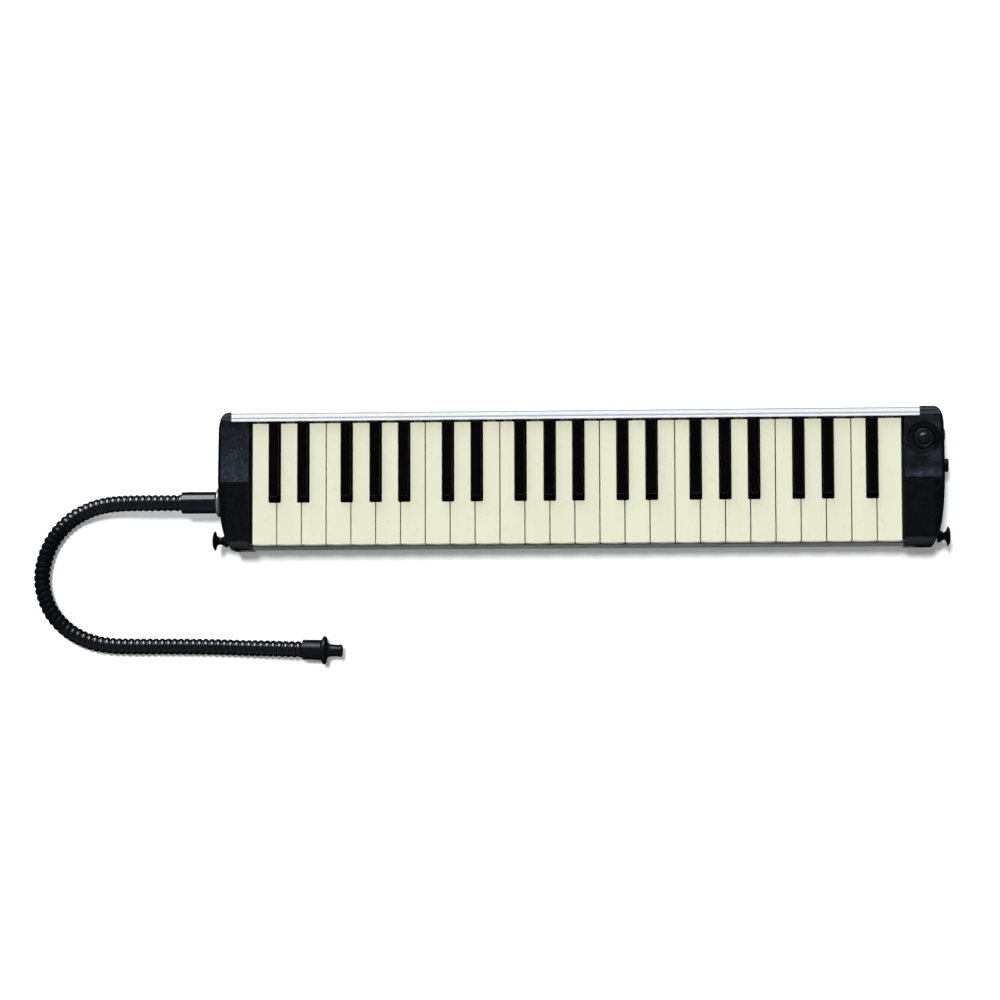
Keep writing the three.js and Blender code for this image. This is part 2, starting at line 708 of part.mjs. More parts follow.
// A socket on the hose, a lip guard, and the nozzle that is blown into.
function mouthpiece() {
  const length = 32.4;
  const body = turnedX([
    [0, 0],
    [0, 7.2],
    [1, 8.2],
    [14.4, 8.2],
    [15.6, 7.4],
    [15.6, 10.6],
    [16.6, 11.4],
    [19.4, 11.4],
    [20.4, 10.4],
    [20.4, 5.4],
    [30.4, 5],
    [length, 3.6],
    [length, 2.4],
    [6, 2.4],
    [6, 0],
  ], 16);
  const mesh = part('mouthpiece', body, 'glossPlastic');
  mesh.position.set(...MOUTHPIECE_PLACE);
  mesh.rotation.z = THREE.MathUtils.degToRad(MOUTHPIECE_TURN);
  return mesh;
}

// ---------------------------------------------------------------- controls and strap buttons

function volumeKnob() {
  const floor = POCKET_FLOOR_Z + 0.4;
  const knob = turnedZ([
    [36, 0],
    [36, KNOB_SHAFT_RADIUS],
    [floor, KNOB_SHAFT_RADIUS],
    [floor, KNOB_RADIUS],
    [46.2, KNOB_RADIUS],
    [46.9, KNOB_RADIUS - 0.8],
    [46.9, KNOB_DOME_RADIUS],
    [48.6, KNOB_DOME_RADIUS - 0.3],
    [KNOB_TOP_Z - 0.3, KNOB_DOME_RADIUS - 1.2],
    [KNOB_TOP_Z, 1.6],
    [KNOB_TOP_Z, 0],
  ], 20);
  const mesh = part('volume_knob', knob, 'glossPlastic');
  mesh.position.set(KNOB_X, KNOB_Y, 0);
  return mesh;
}

// The button that opens the drain valve, with the flange that keeps it in the cover.
function drainButton() {
  const button = turnedX([
    [270, 0],
    [270, 3],
    [284.6, 3],
    [284.6, 7],
    [286.4, 7],
    [286.4, DRAIN_RADIUS],
    [294.8, DRAIN_RADIUS],
    [295.6, DRAIN_RADIUS - 0.8],
    [295.8, 2.6],
    [295.8, 0],
  ], 14);
  const mesh = part('drain_button', button, 'glossPlastic');
  mesh.position.set(0, DRAIN_Y, DRAIN_Z);
  return mesh;
}

function strapButton(name, side, seatX) {
  const base = side * seatX;
  const profile = [
    [base, 0],
    [base, 5.4],
    [base + 2.2, 5.2],
    [base + 4.2, 3.2],
    [STRAP_END_X - 5, 3],
    [STRAP_END_X - 3.2, 4.6],
    [STRAP_END_X - 2.4, STRAP_HEAD_RADIUS],
    [STRAP_END_X - 1.2, STRAP_HEAD_RADIUS],
    [STRAP_END_X, 5.6],
    [STRAP_END_X, 0],
  ];
  const mesh = part(name, turnedX(profile, 16), 'glossPlastic');
  mesh.rotation.z = side < 0 ? Math.PI : 0;
  mesh.position.set(0, STRAP_Y, STRAP_Z);
  return mesh;
}

// ---------------------------------------------------------------- assembly

const melodica = new THREE.Group();
melodica.add(lowerCase());
melodica.add(leftEndCover());
melodica.add(rightEndCover());
melodica.add(topRail());
melodica.add(pivotRod());
melodica.add(keySprings());
melodica.add(reedChamber());
melodica.add(reedPlate());
melodica.add(keys());
melodica.add(inletCollar());
melodica.add(hoseConnector());
melodica.add(hose());
melodica.add(mouthpiece());
melodica.add(volumeKnob());
melodica.add(drainButton());
melodica.add(strapButton('strap_button_left', -1, STRAP_SEAT_X.left));
melodica.add(strapButton('strap_button_right', 1, STRAP_SEAT_X.right));

export default melodica;
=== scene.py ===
"""The looks of a 44-key melodica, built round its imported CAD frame.

+X runs up the scale, +Y to the rail, +Z up. Shapes are built in millimetres and made into metres, Blender's
unit, when they become pieces. Materials place their patterns and tones in metres.
"""

import json
import math

import bmesh
import bpy
from mathutils import Matrix, Vector


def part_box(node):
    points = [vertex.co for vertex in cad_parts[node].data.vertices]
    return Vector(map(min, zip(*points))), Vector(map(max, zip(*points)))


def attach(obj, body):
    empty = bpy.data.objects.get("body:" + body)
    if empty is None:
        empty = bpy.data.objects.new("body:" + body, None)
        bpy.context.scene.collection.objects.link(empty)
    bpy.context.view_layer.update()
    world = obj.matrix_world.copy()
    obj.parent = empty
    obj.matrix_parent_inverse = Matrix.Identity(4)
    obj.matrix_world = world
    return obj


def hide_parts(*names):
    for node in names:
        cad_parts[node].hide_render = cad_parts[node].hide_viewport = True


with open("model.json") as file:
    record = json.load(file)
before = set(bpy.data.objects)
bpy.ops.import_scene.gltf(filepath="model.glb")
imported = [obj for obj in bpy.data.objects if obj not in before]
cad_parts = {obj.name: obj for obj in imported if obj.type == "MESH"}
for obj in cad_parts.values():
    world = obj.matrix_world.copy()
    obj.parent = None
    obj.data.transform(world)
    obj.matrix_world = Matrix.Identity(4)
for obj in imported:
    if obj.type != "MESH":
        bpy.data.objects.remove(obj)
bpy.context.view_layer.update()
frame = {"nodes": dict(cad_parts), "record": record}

MM = 0.001
WHITE_KEYS, BLACK_KEYS = [[node for node in sorted(frame["nodes"]) if node.startswith(kind)]
                          for kind in ("white_key", "black_key")]

# ---- driving dimensions, in millimetres

KEY_WALL = 1.6
TOP_PLATE = 2.2
LIP_DEPTH = 2.8
LIP_ROUND = 0.9
LIP_BULGE = 0.35
SKIRT_RISE = 3.0
TAIL_LENGTH = 5.0
TAIL_WIDTH = 6.4
TAIL_DROP = 3.0
PAD_THICKNESS = 2.0
KEY_EDGE = 0.45
NOTCH_ROUND = 0.9
NOTCH_CLEAR = 1.1
ROD_SLOT = 3.8
BLACK_GAP = 0.5
BLACK_SLOPE = 3.6
BLACK_SLOPE_DROP = 7.5
BLACK_TAPER = 0.6
BLACK_CROWN = 0.3
BLACK_EDGE = 0.9
BLACK_CORNER = 1.5
BLACK_WALL = KEY_WALL + 0.2

COVER_EDGE = 3.8
COVER_BOTTOM_EDGE = 3.2
COVER_INNER_EDGE = 0.4
COVER_WALL = 2.4
CREASE_Y = -1.7
SLOPE_END = (-49.0, 43.0)
CHAMFER_END = (-54.6, 38.6)
INLET_HOLE = 9.7
BUTTON_HOLE = 5.7
SOCKET_HOLE = 4.6
KNOB_CLEARANCE = 0.7
DISH_RADIUS = 13.8
RAIL_THICKNESS = 2.5
RAIL_END_ROUND = 1.4
RAIL_GAP = 0.3

RIB_PITCH = 5.1
RIB_DEPTH = 1.5
RIB_FULLNESS = 0.6
RINGS_A_TURN = 16
HOSE_SIDES = 30
HOSE_DIAMETER = 13.3
HOSE_OVERLAP = 2.6
HOSE_BORE = HOSE_DIAMETER / 2 + 0.1

# The line of the hose, in metres: out of the connector, down, once round, and up to the mouthpiece.
HOSE_ROUTE = [
    (-0.3224, -0.0162, 0.025), (-0.336, -0.0162, 0.025), (-0.35, -0.0161, 0.0245),
    (-0.364, -0.016, 0.0226), (-0.378, -0.0163, 0.0189), (-0.3915, -0.018, 0.0146),
    (-0.4035, -0.0216, 0.0108), (-0.415, -0.0274, 0.008), (-0.4255, -0.0365, 0.0069),
    (-0.4335, -0.048, 0.0068), (-0.4387, -0.0615, 0.0068), (-0.4407, -0.076, 0.0068),
    (-0.4385, -0.09, 0.0068), (-0.4328, -0.103, 0.0068), (-0.4235, -0.1143, 0.0068),
    (-0.4115, -0.123, 0.0068), (-0.397, -0.1288, 0.0068), (-0.381, -0.1314, 0.0068),
    (-0.361, -0.132, 0.0068), (-0.336, -0.1321, 0.0068), (-0.311, -0.1324, 0.0068),
    (-0.29, -0.1329, 0.0069), (-0.27, -0.1336, 0.0079), (-0.25, -0.1342, 0.0102),
    (-0.236, -0.1347, 0.0114), (-0.2253, -0.1351, 0.0117),
]

# ---- where tones change, in metres: a pair is where a change starts and ends

COVERS_MIDDLE_X = -0.003
TOP_Z = (0.0471, 0.04748)
REAR_Y = (0.0480, 0.0490)
SIDE_X = (0.282, 0.284)
# where the painted sheen behind the crease starts, and where it fades rearwards on each cover
CREASE_TONE_Y = (-0.0019, -0.0015)
RIGHT_COVER_X = (-0.01, 0.01)
LEFT_DARKER_Y = (0.004, 0.046)
RIGHT_DARKER_Y = (0.002, 0.007)
# where the painted reflection on the front chamfer lies
CHAMFER_Y, CHAMFER_Z = (-0.0492, -0.0489), (0.0350, 0.0362)
# height and reach of the painted highlight along the rear rim
RIM_HIGHLIGHT_Z, RIM_HIGHLIGHT_REACH = 0.0470, 0.00042
FOOT_X, FOOT_Y, FOOT_Z = (0.2718, 0.2722), (-0.0545, -0.0535), (0.0250, 0.0265)
# the walls painted lighter as fill light lie below this height and behind this depth
END_FACE_Y, END_FACE_Z = (-0.0500, -0.0480), (0.0412, 0.0424)
# below this height the white keys carry a painted highlight
WHITE_TOP_Z = (0.04235, 0.04249)
BLACK_TOP_Z = (0.0492, 0.0496)
CASE_OUTSIDE_Y = (0.0508, 0.0516)
# the two grooves of the rail, painted dark as shade
RAIL_LINES_Y, RAIL_LINE_REACH = (0.0495, 0.0533), 0.00055
BEND_Y, BEND_COAT, BEND_SHEEN = -0.076, (0.038, 0.053), (0.030, 0.050)
KNOB_DOME_Z = (0.0469, 0.0473)

# ---- camera and light

CAMERA_PLACE = (0.1106, -0.2120, 2.5103)
CAMERA_TURN = (4.494, 4.013, -0.129)
CAMERA_LENS = 111.6
FLOOR_SIZE = 60.0
FLOOR_GLOW = 0.24
BACKDROP_HEIGHT = 12.0
BACKDROP_GLOW = 1.2
SUN_LIGHT = 3.0
SUN_SOFTNESS = 11
SUN_TURN = (-12, -6, 0)
WALL_LIGHT = 0.08
OVERHEAD_LIGHT = 0.03
BELOW_SHARE = 0.08
SOFT_BOX_LIGHT = 3.2
SOFT_BOX_DIRECTION = Vector((-0.22, 0.84, 0.52))
SOFT_BOX_EDGE = (0.875, 0.955)


def placed(name, data, turn=(0, 0, 0)):
    """A new object in the scene, turned by angles in degrees."""
    made = bpy.data.objects.new(name, data)
    made.rotation_euler = [math.radians(angle) for angle in turn]
    bpy.context.scene.collection.objects.link(made)
    return made


def add_camera():
    """Almost straight above the instrument, a little to the front and right."""
    data = bpy.data.cameras.new("camera")
    data.lens = CAMERA_LENS
    data.clip_end = 100
    camera = placed("camera", data, CAMERA_TURN)
    camera.location = CAMERA_PLACE
    bpy.context.scene.camera = camera


def add_sun():
    """A soft light from almost overhead that shows in no reflection."""
    data = bpy.data.lights.new("key_light", "SUN")
    data.energy = SUN_LIGHT
    data.angle = math.radians(SUN_SOFTNESS)
    placed("key_light", data, SUN_TURN).visible_glossy = False


def add_world():
    """A dim studio with one big soft box low behind the instrument."""
    world = bpy.data.worlds.new("studio")
    bpy.context.scene.world = world
    world.use_nodes = True
    sky = Shading(world.node_tree)
    direction = sky.add("TexCoord").outputs["Generated"]
    height = sky.add("SeparateXYZ", direction).outputs["Z"]
    aim = SOFT_BOX_DIRECTION.normalized()
    toward = sky.add("VectorMath", direction, aim, operation="DOT_PRODUCT").outputs["Value"]
    soft = "SMOOTHSTEP"
    walls = sky.remap(height, 0.0, 0.94, WALL_LIGHT, OVERHEAD_LIGHT, soft)
    above = sky.remap(height, -0.03, 0.02, BELOW_SHARE, 1.0, soft)
    soft_box = sky.remap(toward, *SOFT_BOX_EDGE, 0.0, SOFT_BOX_LIGHT, soft)
    background = world.node_tree.nodes["Background"]
    sky.feed(background.inputs["Strength"], sky.product(sky.math("ADD", walls, soft_box), above))
    background.inputs["Color"].default_value = (0.88, 0.95, 1.0, 1.0)


def stage(bm, name, material):
    """A surface of the studio, which shows in no reflection."""
    made = loose_object(bm, name)
    made.data.materials.append(material)
    made.visible_glossy = False
    return made


def add_studio():
    """Camera, light, a pale floor, and a backdrop round its edge that gives no light or shadow."""
    add_camera()
    add_world()
    add_sun()
    bpy.context.scene.view_settings.view_transform = "Standard"
    floor = bmesh.new()
    bmesh.ops.create_grid(floor, x_segments=1, y_segments=1, size=FLOOR_SIZE / 2)
    stage(floor, "floor", floor_paper())
    wall = bmesh.new()
    radius, segments = FLOOR_SIZE / 2 - 1, 96
    angles = [2 * math.pi * i / segments for i in range(segments)]
    loft(wall, [[wall.verts.new((radius * math.cos(a), radius * math.sin(a), z)) for a in angles]
                for z in (-0.1, BACKDROP_HEIGHT)])
    backdrop = stage(wall, "backdrop", backdrop_cloth())
    backdrop.visible_diffuse = backdrop.visible_shadow = False


# ---- materials

def set_inputs(node, **values):
    """Sets input sockets by name: specular_ior_level stands for Specular IOR Level."""
    for key, value in values.items():
        node.inputs[key.replace("_", " ").title().replace("Ior", "IOR")].default_value = value


class Shading:
    """Short ways to add nodes to a shader's tree."""

    def __init__(self, tree):
        self.nodes, self.links = tree.nodes, tree.links

    def feed(self, socket, source):
        """Links the socket to the source, or sets it to the source where that is a constant."""
        if isinstance(source, bpy.types.NodeSocket):
            self.links.new(source, socket)
        else:
            socket.default_value = source

    def add(self, kind, *sources, **settings):
        """A new node with the settings, and with the sources fed to its first sockets."""
        node = self.nodes.new("ShaderNode" + kind)
        for key, value in settings.items():
            setattr(node, key, value)
        for socket, source in zip(node.inputs, sources):
            self.feed(socket, source)
        return node

    def math(self, operation, *values):
        return self.add("Math", *values, operation=operation).outputs[0]

    def product(self, first, *others):
        """The values multiplied: of masks, where all of them are 1."""
        for other in others:
            first = self.math("MULTIPLY", first, other)
        return first

    def remap(self, value, low, high, to_low=0.0, to_high=1.0, style="LINEAR"):
        """The value's range low..high, moved to to_low..to_high."""
        return self.add("MapRange", value, low, high, to_low, to_high, interpolation_type=style).outputs[0]

    def ramp(self, value, *stops):
        """A colour ramp. stops are a place, its colour, the next place and so on."""
        node = self.add("ValToRGB", value)
        elements = node.color_ramp.elements
        while len(elements) < len(stops) / 2:
            elements.new(0.5)
        for element, place, colour in zip(elements, stops[::2], stops[1::2]):
            element.position = place
            element.color = (*colour, 1.0)
        return node.outputs["Color"]

    def mix(self, share, a, b):
        """Colour a where share is 0, and b where it is 1."""
        node = self.add("Mix", share, data_type="RGBA")
        for socket, colour in zip(node.inputs[6:8], (a, b)):
            self.feed(socket, (*colour, 1.0) if isinstance(colour, tuple) else colour)
        return node.outputs[2]


class Surface(Shading):
    """A Principled material, patterned by the object's own coordinates."""

    def __init__(self, name, colour, **values):
        self.material = bpy.data.materials.new(name)
        self.material.use_nodes = True
        self.material.diffuse_color = (*colour, 1.0)
        super().__init__(self.material.node_tree)
        self.shader = self.nodes["Principled BSDF"]
        set_inputs(self.shader, base_color=(*colour, 1.0), **values)
        self.place = self.add("TexCoord").outputs["Object"]

    def along(self, axis):
        """Object coordinate along "X", "Y" or "Z", in metres."""
        return self.add("SeparateXYZ", self.place).outputs[axis]

    def by(self, axis, zone, to_low=0.0, to_high=1.0):
        """A value that changes across the zone, a pair of places along the axis."""
        return self.remap(self.along(axis), *zone, to_low, to_high)

    def off(self, axis, middle=0.0):
        """How far the object coordinate is from the middle, to either side."""
        return self.math("ABSOLUTE", self.math("SUBTRACT", self.along(axis), middle))

    def stretched(self, *scale):
        """Object coordinates drawn out, to give a pattern grain in one direction."""
        mapping = self.add("Mapping", self.place)
        set_inputs(mapping, scale=scale)
        return mapping.outputs["Vector"]

    def noise(self, size, detail=4.0, roughness=0.55, distortion=0.0, place=None):
        """Soft noise whose features are about `size` metres across."""
        node = self.add("TexNoise", place or self.place)
        set_inputs(node, scale=1.0 / size, detail=detail, roughness=roughness, distortion=distortion)
        return node.outputs["Fac"]

    def to(self, socket, value):
        self.feed(self.shader.inputs[socket], value)

    def tint(self, value, *stops):
        self.to("Base Color", self.ramp(value, *stops))

    def rough(self, *remapping):
        self.to("Roughness", self.remap(*remapping))

    def bump(self, *layers):
        """The finished material, with raised detail in layers of (height, distance)."""
        normal = None
        for height, distance in layers:
            node = self.add("Bump")
            set_inputs(node, distance=distance, strength=1.0)
            self.feed(node.inputs["Height"], height)
            if normal is not None:
                self.feed(node.inputs["Normal"], normal)
            normal = node.outputs["Normal"]
        self.to("Normal", normal)
        return self.material


def shade(colour, factor):
    return tuple(channel * factor for channel in colour)


def floor_paper():
    """A matt white light table that glows a little, so that shadows stay pale."""
    paper = Surface("floor_paper", (0.9, 0.9, 0.9), roughness=0.85, specular_ior_level=0.1,
                    emission_strength=FLOOR_GLOW, emission_color=(1.0, 1.0, 1.0, 1.0))
    paper.tint(paper.noise(0.35, detail=2.0), 0.3, (0.895, 0.895, 0.893), 0.7, (0.905, 0.905, 0.905))
    return paper.material


def backdrop_cloth():
    """Plain white cloth, lit evenly."""
    cloth = Surface("backdrop_cloth", (0.0, 0.0, 0.0), roughness=1.0, specular_ior_level=0.0,
                    emission_strength=BACKDROP_GLOW)
    weave = cloth.noise(2.0, detail=2.0)
    cloth.to("Emission Color", cloth.ramp(weave, 0.3, (0.93, 0.93, 0.93), 0.7, (1.0, 1.0, 1.0)))
    return cloth.material


def ivory_plastic():
    """Cream key plastic: a shade of its own on each key, faint grain, handling marks, and a painted highlight
    that makes the edges and sides below the top paler.
    """
    ivory = Surface("ivory_plastic", (0.70, 0.70, 0.53), specular_ior_level=0.4, coat_weight=0.2,
                    coat_roughness=0.1)
    by_key = ivory.noise(0.03, detail=1.0, place=ivory.stretched(1.0, 0.05, 0.05))
    grain = ivory.noise(0.0016, detail=3.0, place=ivory.stretched(1.0, 0.05, 1.0))
    handling = ivory.noise(0.012, detail=6.0, roughness=0.7)
    tone = ivory.ramp(by_key, 0.3, (0.695, 0.69, 0.525), 0.7, (0.72, 0.72, 0.55))
    veined = ivory.mix(ivory.remap(grain, 0.35, 0.75, 0.0, 0.3), tone, (0.665, 0.655, 0.485))
    handled = ivory.mix(ivory.remap(handling, 0.55, 0.8, 0.0, 0.25), veined, (0.65, 0.62, 0.45))
    # painted highlight: below the top face the key is painted paler cream, standing in for light on the
    # rounded edges
    edge = ivory.by("Z", WHITE_TOP_Z, 0.85, 0.0)
    ivory.to("Base Color", ivory.mix(edge, handled, (0.86, 0.86, 0.74)))
    ivory.rough(handling, 0.3, 0.75, 0.24, 0.4)
    return ivory.bump((grain, 2e-5), (handling, 3e-5))


def ebony_plastic():
    """Satin black key plastic with a lengthwise grain and smoother patches. Only its top shines."""
    ebony = Surface("ebony_plastic", (0.002, 0.002, 0.0025), specular_ior_level=0.3)
    grain = ebony.noise(0.0012, place=ebony.stretched(1.0, 0.06, 1.0))
    ebony.tint(grain, 0.35, (0.0006, 0.0006, 0.0008), 0.75, (0.0020, 0.0020, 0.0024))
    ebony.rough(ebony.noise(0.009), 0.3, 0.7, 0.13, 0.22)
    ebony.to("Specular IOR Level", ebony.by("Z", BLACK_TOP_Z, 0.0, 0.3))
    return ebony.bump((grain, 2e-5))


def cover_tone(cover, folds, patches, level):
    """Colour of the top: plain before the crease, with a painted sheen behind it where the level rear half
    would catch the soft box. The painted sheen fades rearwards, and at once on the right cover."""
    plain = cover.ramp(folds, 0.3, (0.0018, 0.0022, 0.0028), 0.75, (0.0044, 0.0052, 0.0066))
    # painted sheen: a lighter blue-grey standing in for the soft box's reflection on the rear half, with the
    # grain showing through
    painted_sheen = cover.ramp(folds, 0.32, (0.0095, 0.012, 0.017), 0.5, (0.017, 0.022, 0.031),
                      0.68, (0.034, 0.043, 0.057))
    on_right = cover.product(cover.by("X", RIGHT_COVER_X), cover.by("Y", RIGHT_DARKER_Y, 0.0, 0.92))
    darker = cover.math("MAXIMUM", cover.by("Y", LEFT_DARKER_Y, 0.0, 0.75), on_right)
    behind = cover.mix(cover.product(darker, cover.remap(patches, 0.35, 0.65, 0.55, 1.25)), painted_sheen, plain)
    return cover.mix(cover.product(cover.by("Y", CREASE_TONE_Y), level), plain, behind)


def cover_plastic():
    """Black plastic moulded with a leather grain. The front chamfer has a painted reflection, the rear rim a
    painted highlight line, and the walls below the top a lighter, mottled tone that is painted fill light;
    the foot of the front wall is grey. The rims hardly shine."""
    cover = Surface("cover_plastic", (0.011, 0.012, 0.015), specular_ior_level=0.4)
    folds = cover.noise(0.0055, detail=3.0, roughness=0.5, distortion=1.8)
    patches = cover.noise(0.03, detail=2.0)
    level, at_rear = cover.by("Z", TOP_Z), cover.by("Y", REAR_Y)
    # painted reflection: the front chamfer is painted a lighter blue-grey, as if it caught light from the
    # front
    chamfer = cover.product(cover.by("Y", CHAMFER_Y, 1.0, 0.0), cover.by("Z", CHAMFER_Z))
    # painted highlight: a thin lighter line along the rounded rear rim, where the soft box would glint
    painted_rim_highlight = cover.product(at_rear, cover.math("COMPARE", cover.along("Z"), RIM_HIGHLIGHT_Z, RIM_HIGHLIGHT_REACH))
    foot = cover.product(cover.remap(cover.off("X", COVERS_MIDDLE_X), *FOOT_X, 1.0, 0.0),
                         cover.by("Y", FOOT_Y, 1.0, 0.0), cover.by("Z", FOOT_Z, 1.0, 0.0))
    # painted light: the walls below the top are painted a lighter, mottled tone, a lit copy of the plastic
    # standing in for fill light
    end_face = cover.product(cover.by("Z", END_FACE_Z, 1.0, 0.0), cover.by("Y", END_FACE_Y))
    painted_fill_tone = cover.ramp(patches, 0.3, (0.013, 0.016, 0.021), 0.7, (0.022, 0.027, 0.034))
    colour = cover_tone(cover, folds, patches, level)
    for place, tone in ((chamfer, (0.019, 0.0245, 0.031)), (painted_rim_highlight, (0.036, 0.044, 0.052)),
                        (foot, (0.2, 0.212, 0.215)), (end_face, painted_fill_tone)):
        colour = cover.mix(place, colour, tone)
    cover.to("Base Color", colour)
    edge = cover.math("MAXIMUM", cover.remap(cover.off("X"), *SIDE_X), at_rear)
    rim = cover.product(edge, cover.by("Z", TOP_Z, 1.0, 0.0))
    cover.to("Specular IOR Level", cover.remap(rim, 0.0, 1.0, 0.4, 0.03))
    cover.rough(folds, 0.3, 0.7, 0.3, 0.46)
    pebbles = cover.add("TexVoronoi", cover.place, feature="SMOOTH_F1")
    set_inputs(pebbles, scale=1.0 / 0.0016, smoothness=0.4)
    grain = cover.math("ADD", cover.product(folds, 1.2), cover.product(pebbles.outputs["Distance"], 0.5))
    return cover.bump((grain, 2e-4), (cover.noise(0.0006, detail=3.0), 2e-5))


def case_plastic():
    """Plastic with the texture of an etched mould: grey on its outer walls, black inside."""
    case = Surface("case_plastic", (0.17, 0.18, 0.182), specular_ior_level=0.45)
    etched = case.noise(0.0007, detail=5.0, roughness=0.65)
    cloud = case.noise(0.03, detail=3.0)
    grey = case.ramp(cloud, 0.3, (0.25, 0.266, 0.27), 0.7, (0.30, 0.316, 0.32))
    outside = case.remap(case.off("Y"), *CASE_OUTSIDE_Y)
    case.to("Base Color", case.mix(outside, (0.012, 0.013, 0.014), grey))
    case.rough(etched, 0.3, 0.7, 0.42, 0.6)
    return case.bump((etched, 6e-5))


def rail_aluminium():
    """Extruded aluminium, brushed along its length, with painted shade darkening its two grooves."""
    rail = Surface("rail_aluminium", (0.84, 0.85, 0.86), metallic=0.25)
    brush = rail.noise(0.0003, detail=5.0, roughness=0.6, place=rail.stretched(0.012, 1.0, 1.0))
    cloud = rail.noise(0.02, detail=3.0, place=rail.stretched(0.2, 1.0, 1.0))
    bright = rail.ramp(cloud, 0.3, (0.95, 0.965, 0.98), 0.7, (0.99, 0.995, 1.0))
    # painted shade: the two grooves are painted dark grey and made less metallic
    groove_shade = rail.math("MAXIMUM", *[rail.math("COMPARE", rail.along("Y"), place, RAIL_LINE_REACH)
                                  for place in RAIL_LINES_Y])
    rail.to("Base Color", rail.mix(groove_shade, bright, (0.42, 0.44, 0.46)))
    rail.to("Metallic", rail.remap(groove_shade, 0.0, 1.0, 0.25, 0.0))
    rail.rough(brush, 0.25, 0.75, 0.36, 0.5)
    return rail.bump((brush, 1e-5))


def bright_nickel():
    """Satin nickel plate with faint smears."""
    nickel = Surface("bright_nickel", (0.78, 0.77, 0.74), metallic=0.85)
    smear = nickel.noise(0.004, detail=5.0, roughness=0.65)
    nickel.tint(smear, 0.3, (0.74, 0.73, 0.70), 0.7, (0.82, 0.815, 0.795))
    nickel.rough(smear, 0.3, 0.75, 0.08, 0.2)
    return nickel.bump((smear, 1e-5))


def steel(name, colour, low, high):
    """Plain steel with drawn streaks, between two roughnesses."""
    metal = Surface(name, colour, metallic=1.0)
    streaks = metal.noise(0.0008, place=metal.stretched(0.15, 1.0, 1.0))
    metal.tint(streaks, 0.3, shade(colour, 0.8), 0.75, shade(colour, 1.1))
    metal.rough(streaks, 0.3, 0.7, low, high)
    return metal.bump((streaks, 1e-5))


def reed_brass():
    """Brass sheet with filing marks and a little tarnish."""
    brass = Surface("reed_brass", (0.62, 0.44, 0.17), metallic=1.0)
    filed = brass.noise(0.0005, place=brass.stretched(1.0, 0.08, 1.0))
    brass.tint(brass.noise(0.015, detail=5.0), 0.3, (0.42, 0.28, 0.1), 0.65, (0.68, 0.5, 0.22))
    brass.rough(filed, 0.3, 0.7, 0.25, 0.45)
    return brass.bump((filed, 1e-5))


def inner_plastic():
    """Plain dark grey plastic for the air box."""
    grey = Surface("inner_plastic", (0.045, 0.048, 0.053))
    cloud = grey.noise(0.008, detail=5.0)
    grey.tint(cloud, 0.3, (0.036, 0.039, 0.043), 0.7, (0.056, 0.06, 0.065))
    grey.rough(cloud, 0.3, 0.7, 0.5, 0.68)
    return grey.bump((cloud, 8e-5))


def gloss_plastic(name, colour, low, high, coat):
    """Smooth black plastic with hairline marks and a faint cloud in its gloss."""
    gloss = Surface(name, colour, coat_weight=coat, coat_roughness=0.08, coat_ior=1.75)
    cloud = gloss.noise(0.004)
    hairline = gloss.noise(0.0004, detail=3.0, place=gloss.stretched(0.2, 1.0, 1.0))
    gloss.tint(cloud, 0.3, shade(colour, 0.8), 0.7, shade(colour, 1.35))
    gloss.rough(cloud, 0.3, 0.75, low, high)
    return gloss.bump((hairline, 6e-6), (cloud, 3e-5))


def hose_plastic():
    """Black hose plastic, glossy where it runs across and dull where it is bent round."""
    hose = Surface("hose_black", (0.003, 0.004, 0.006), coat_roughness=0.07, coat_ior=2.4)
    cloud = hose.noise(0.004)
    hose.tint(cloud, 0.3, (0.0024, 0.0032, 0.0048), 0.7, (0.004, 0.0054, 0.008))
    hose.rough(cloud, 0.3, 0.75, 0.24, 0.38)
    from_bend = hose.off("Y", BEND_Y)
    hose.to("Coat Weight", hose.remap(from_bend, *BEND_COAT))
    hose.to("Specular IOR Level", hose.remap(from_bend, *BEND_SHEEN, 0.05, 0.35))
    return hose.bump((cloud, 3e-5))


def knob_plastic():
    """Satin black plastic with a polished dome."""
    knob = Surface("knob_plastic", (0.0045, 0.005, 0.0075), coat_roughness=0.12, coat_ior=1.8)
    cloud = knob.noise(0.003)
    knob.tint(cloud, 0.3, (0.0035, 0.004, 0.006), 0.7, (0.006, 0.0065, 0.0095))
    knob.rough(cloud, 0.3, 0.7, 0.3, 0.42)
    knob.to("Coat Weight", knob.by("Z", KNOB_DOME_Z, 0.05, 1.0))
    return knob.bump((cloud, 3e-5))


def black_rubber():
    """Matt rubber with dust in its pores."""
    rubber = Surface("black_rubber", (0.02, 0.02, 0.02), specular_ior_level=0.3)
    pores = rubber.noise(0.0008, detail=6.0)
    rubber.tint(pores, 0.35, (0.012, 0.012, 0.012), 0.75, (0.045, 0.044, 0.042))
    rubber.rough(pores, 0.3, 0.7, 0.6, 0.85)
    return rubber.bump((pores, 1e-4))


# ---- shape tools, in millimetres

def box(node):
    """Lowest and highest corner of a CAD node, in millimetres."""
    low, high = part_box(node)
    return low / MM, high / MM


def middle(node):
    """Centre of a CAD node, in millimetres."""
    return [(a + b) / 2 for a, b in zip(*box(node))]


def curve(start, control, end, steps):
    """Points of a quadratic curve, its ends included."""
    shares = [step / steps for step in range(steps + 1)]
    return [tuple((1 - t) ** 2 * a + 2 * t * (1 - t) * b + t ** 2 * c for a, b, c in zip(start, control, end))
            for t in shares]


def rounded(points, radii, steps=4):
    """The outline with each corner made a curve by its own radius."""
    outline = []
    for i, (point, reach) in enumerate(zip(points, radii)):
        corner = Vector(point)
        if reach == 0:
            outline.append(tuple(corner))
            continue
        before = Vector(points[i - 1]) - corner
        after = Vector(points[(i + 1) % len(points)]) - corner
        reach = min(reach, before.length / 2, after.length / 2)
        start, end = (corner + way.normalized() * reach for way in (before, after))
        outline += curve(start, corner, end, steps)
    return outline


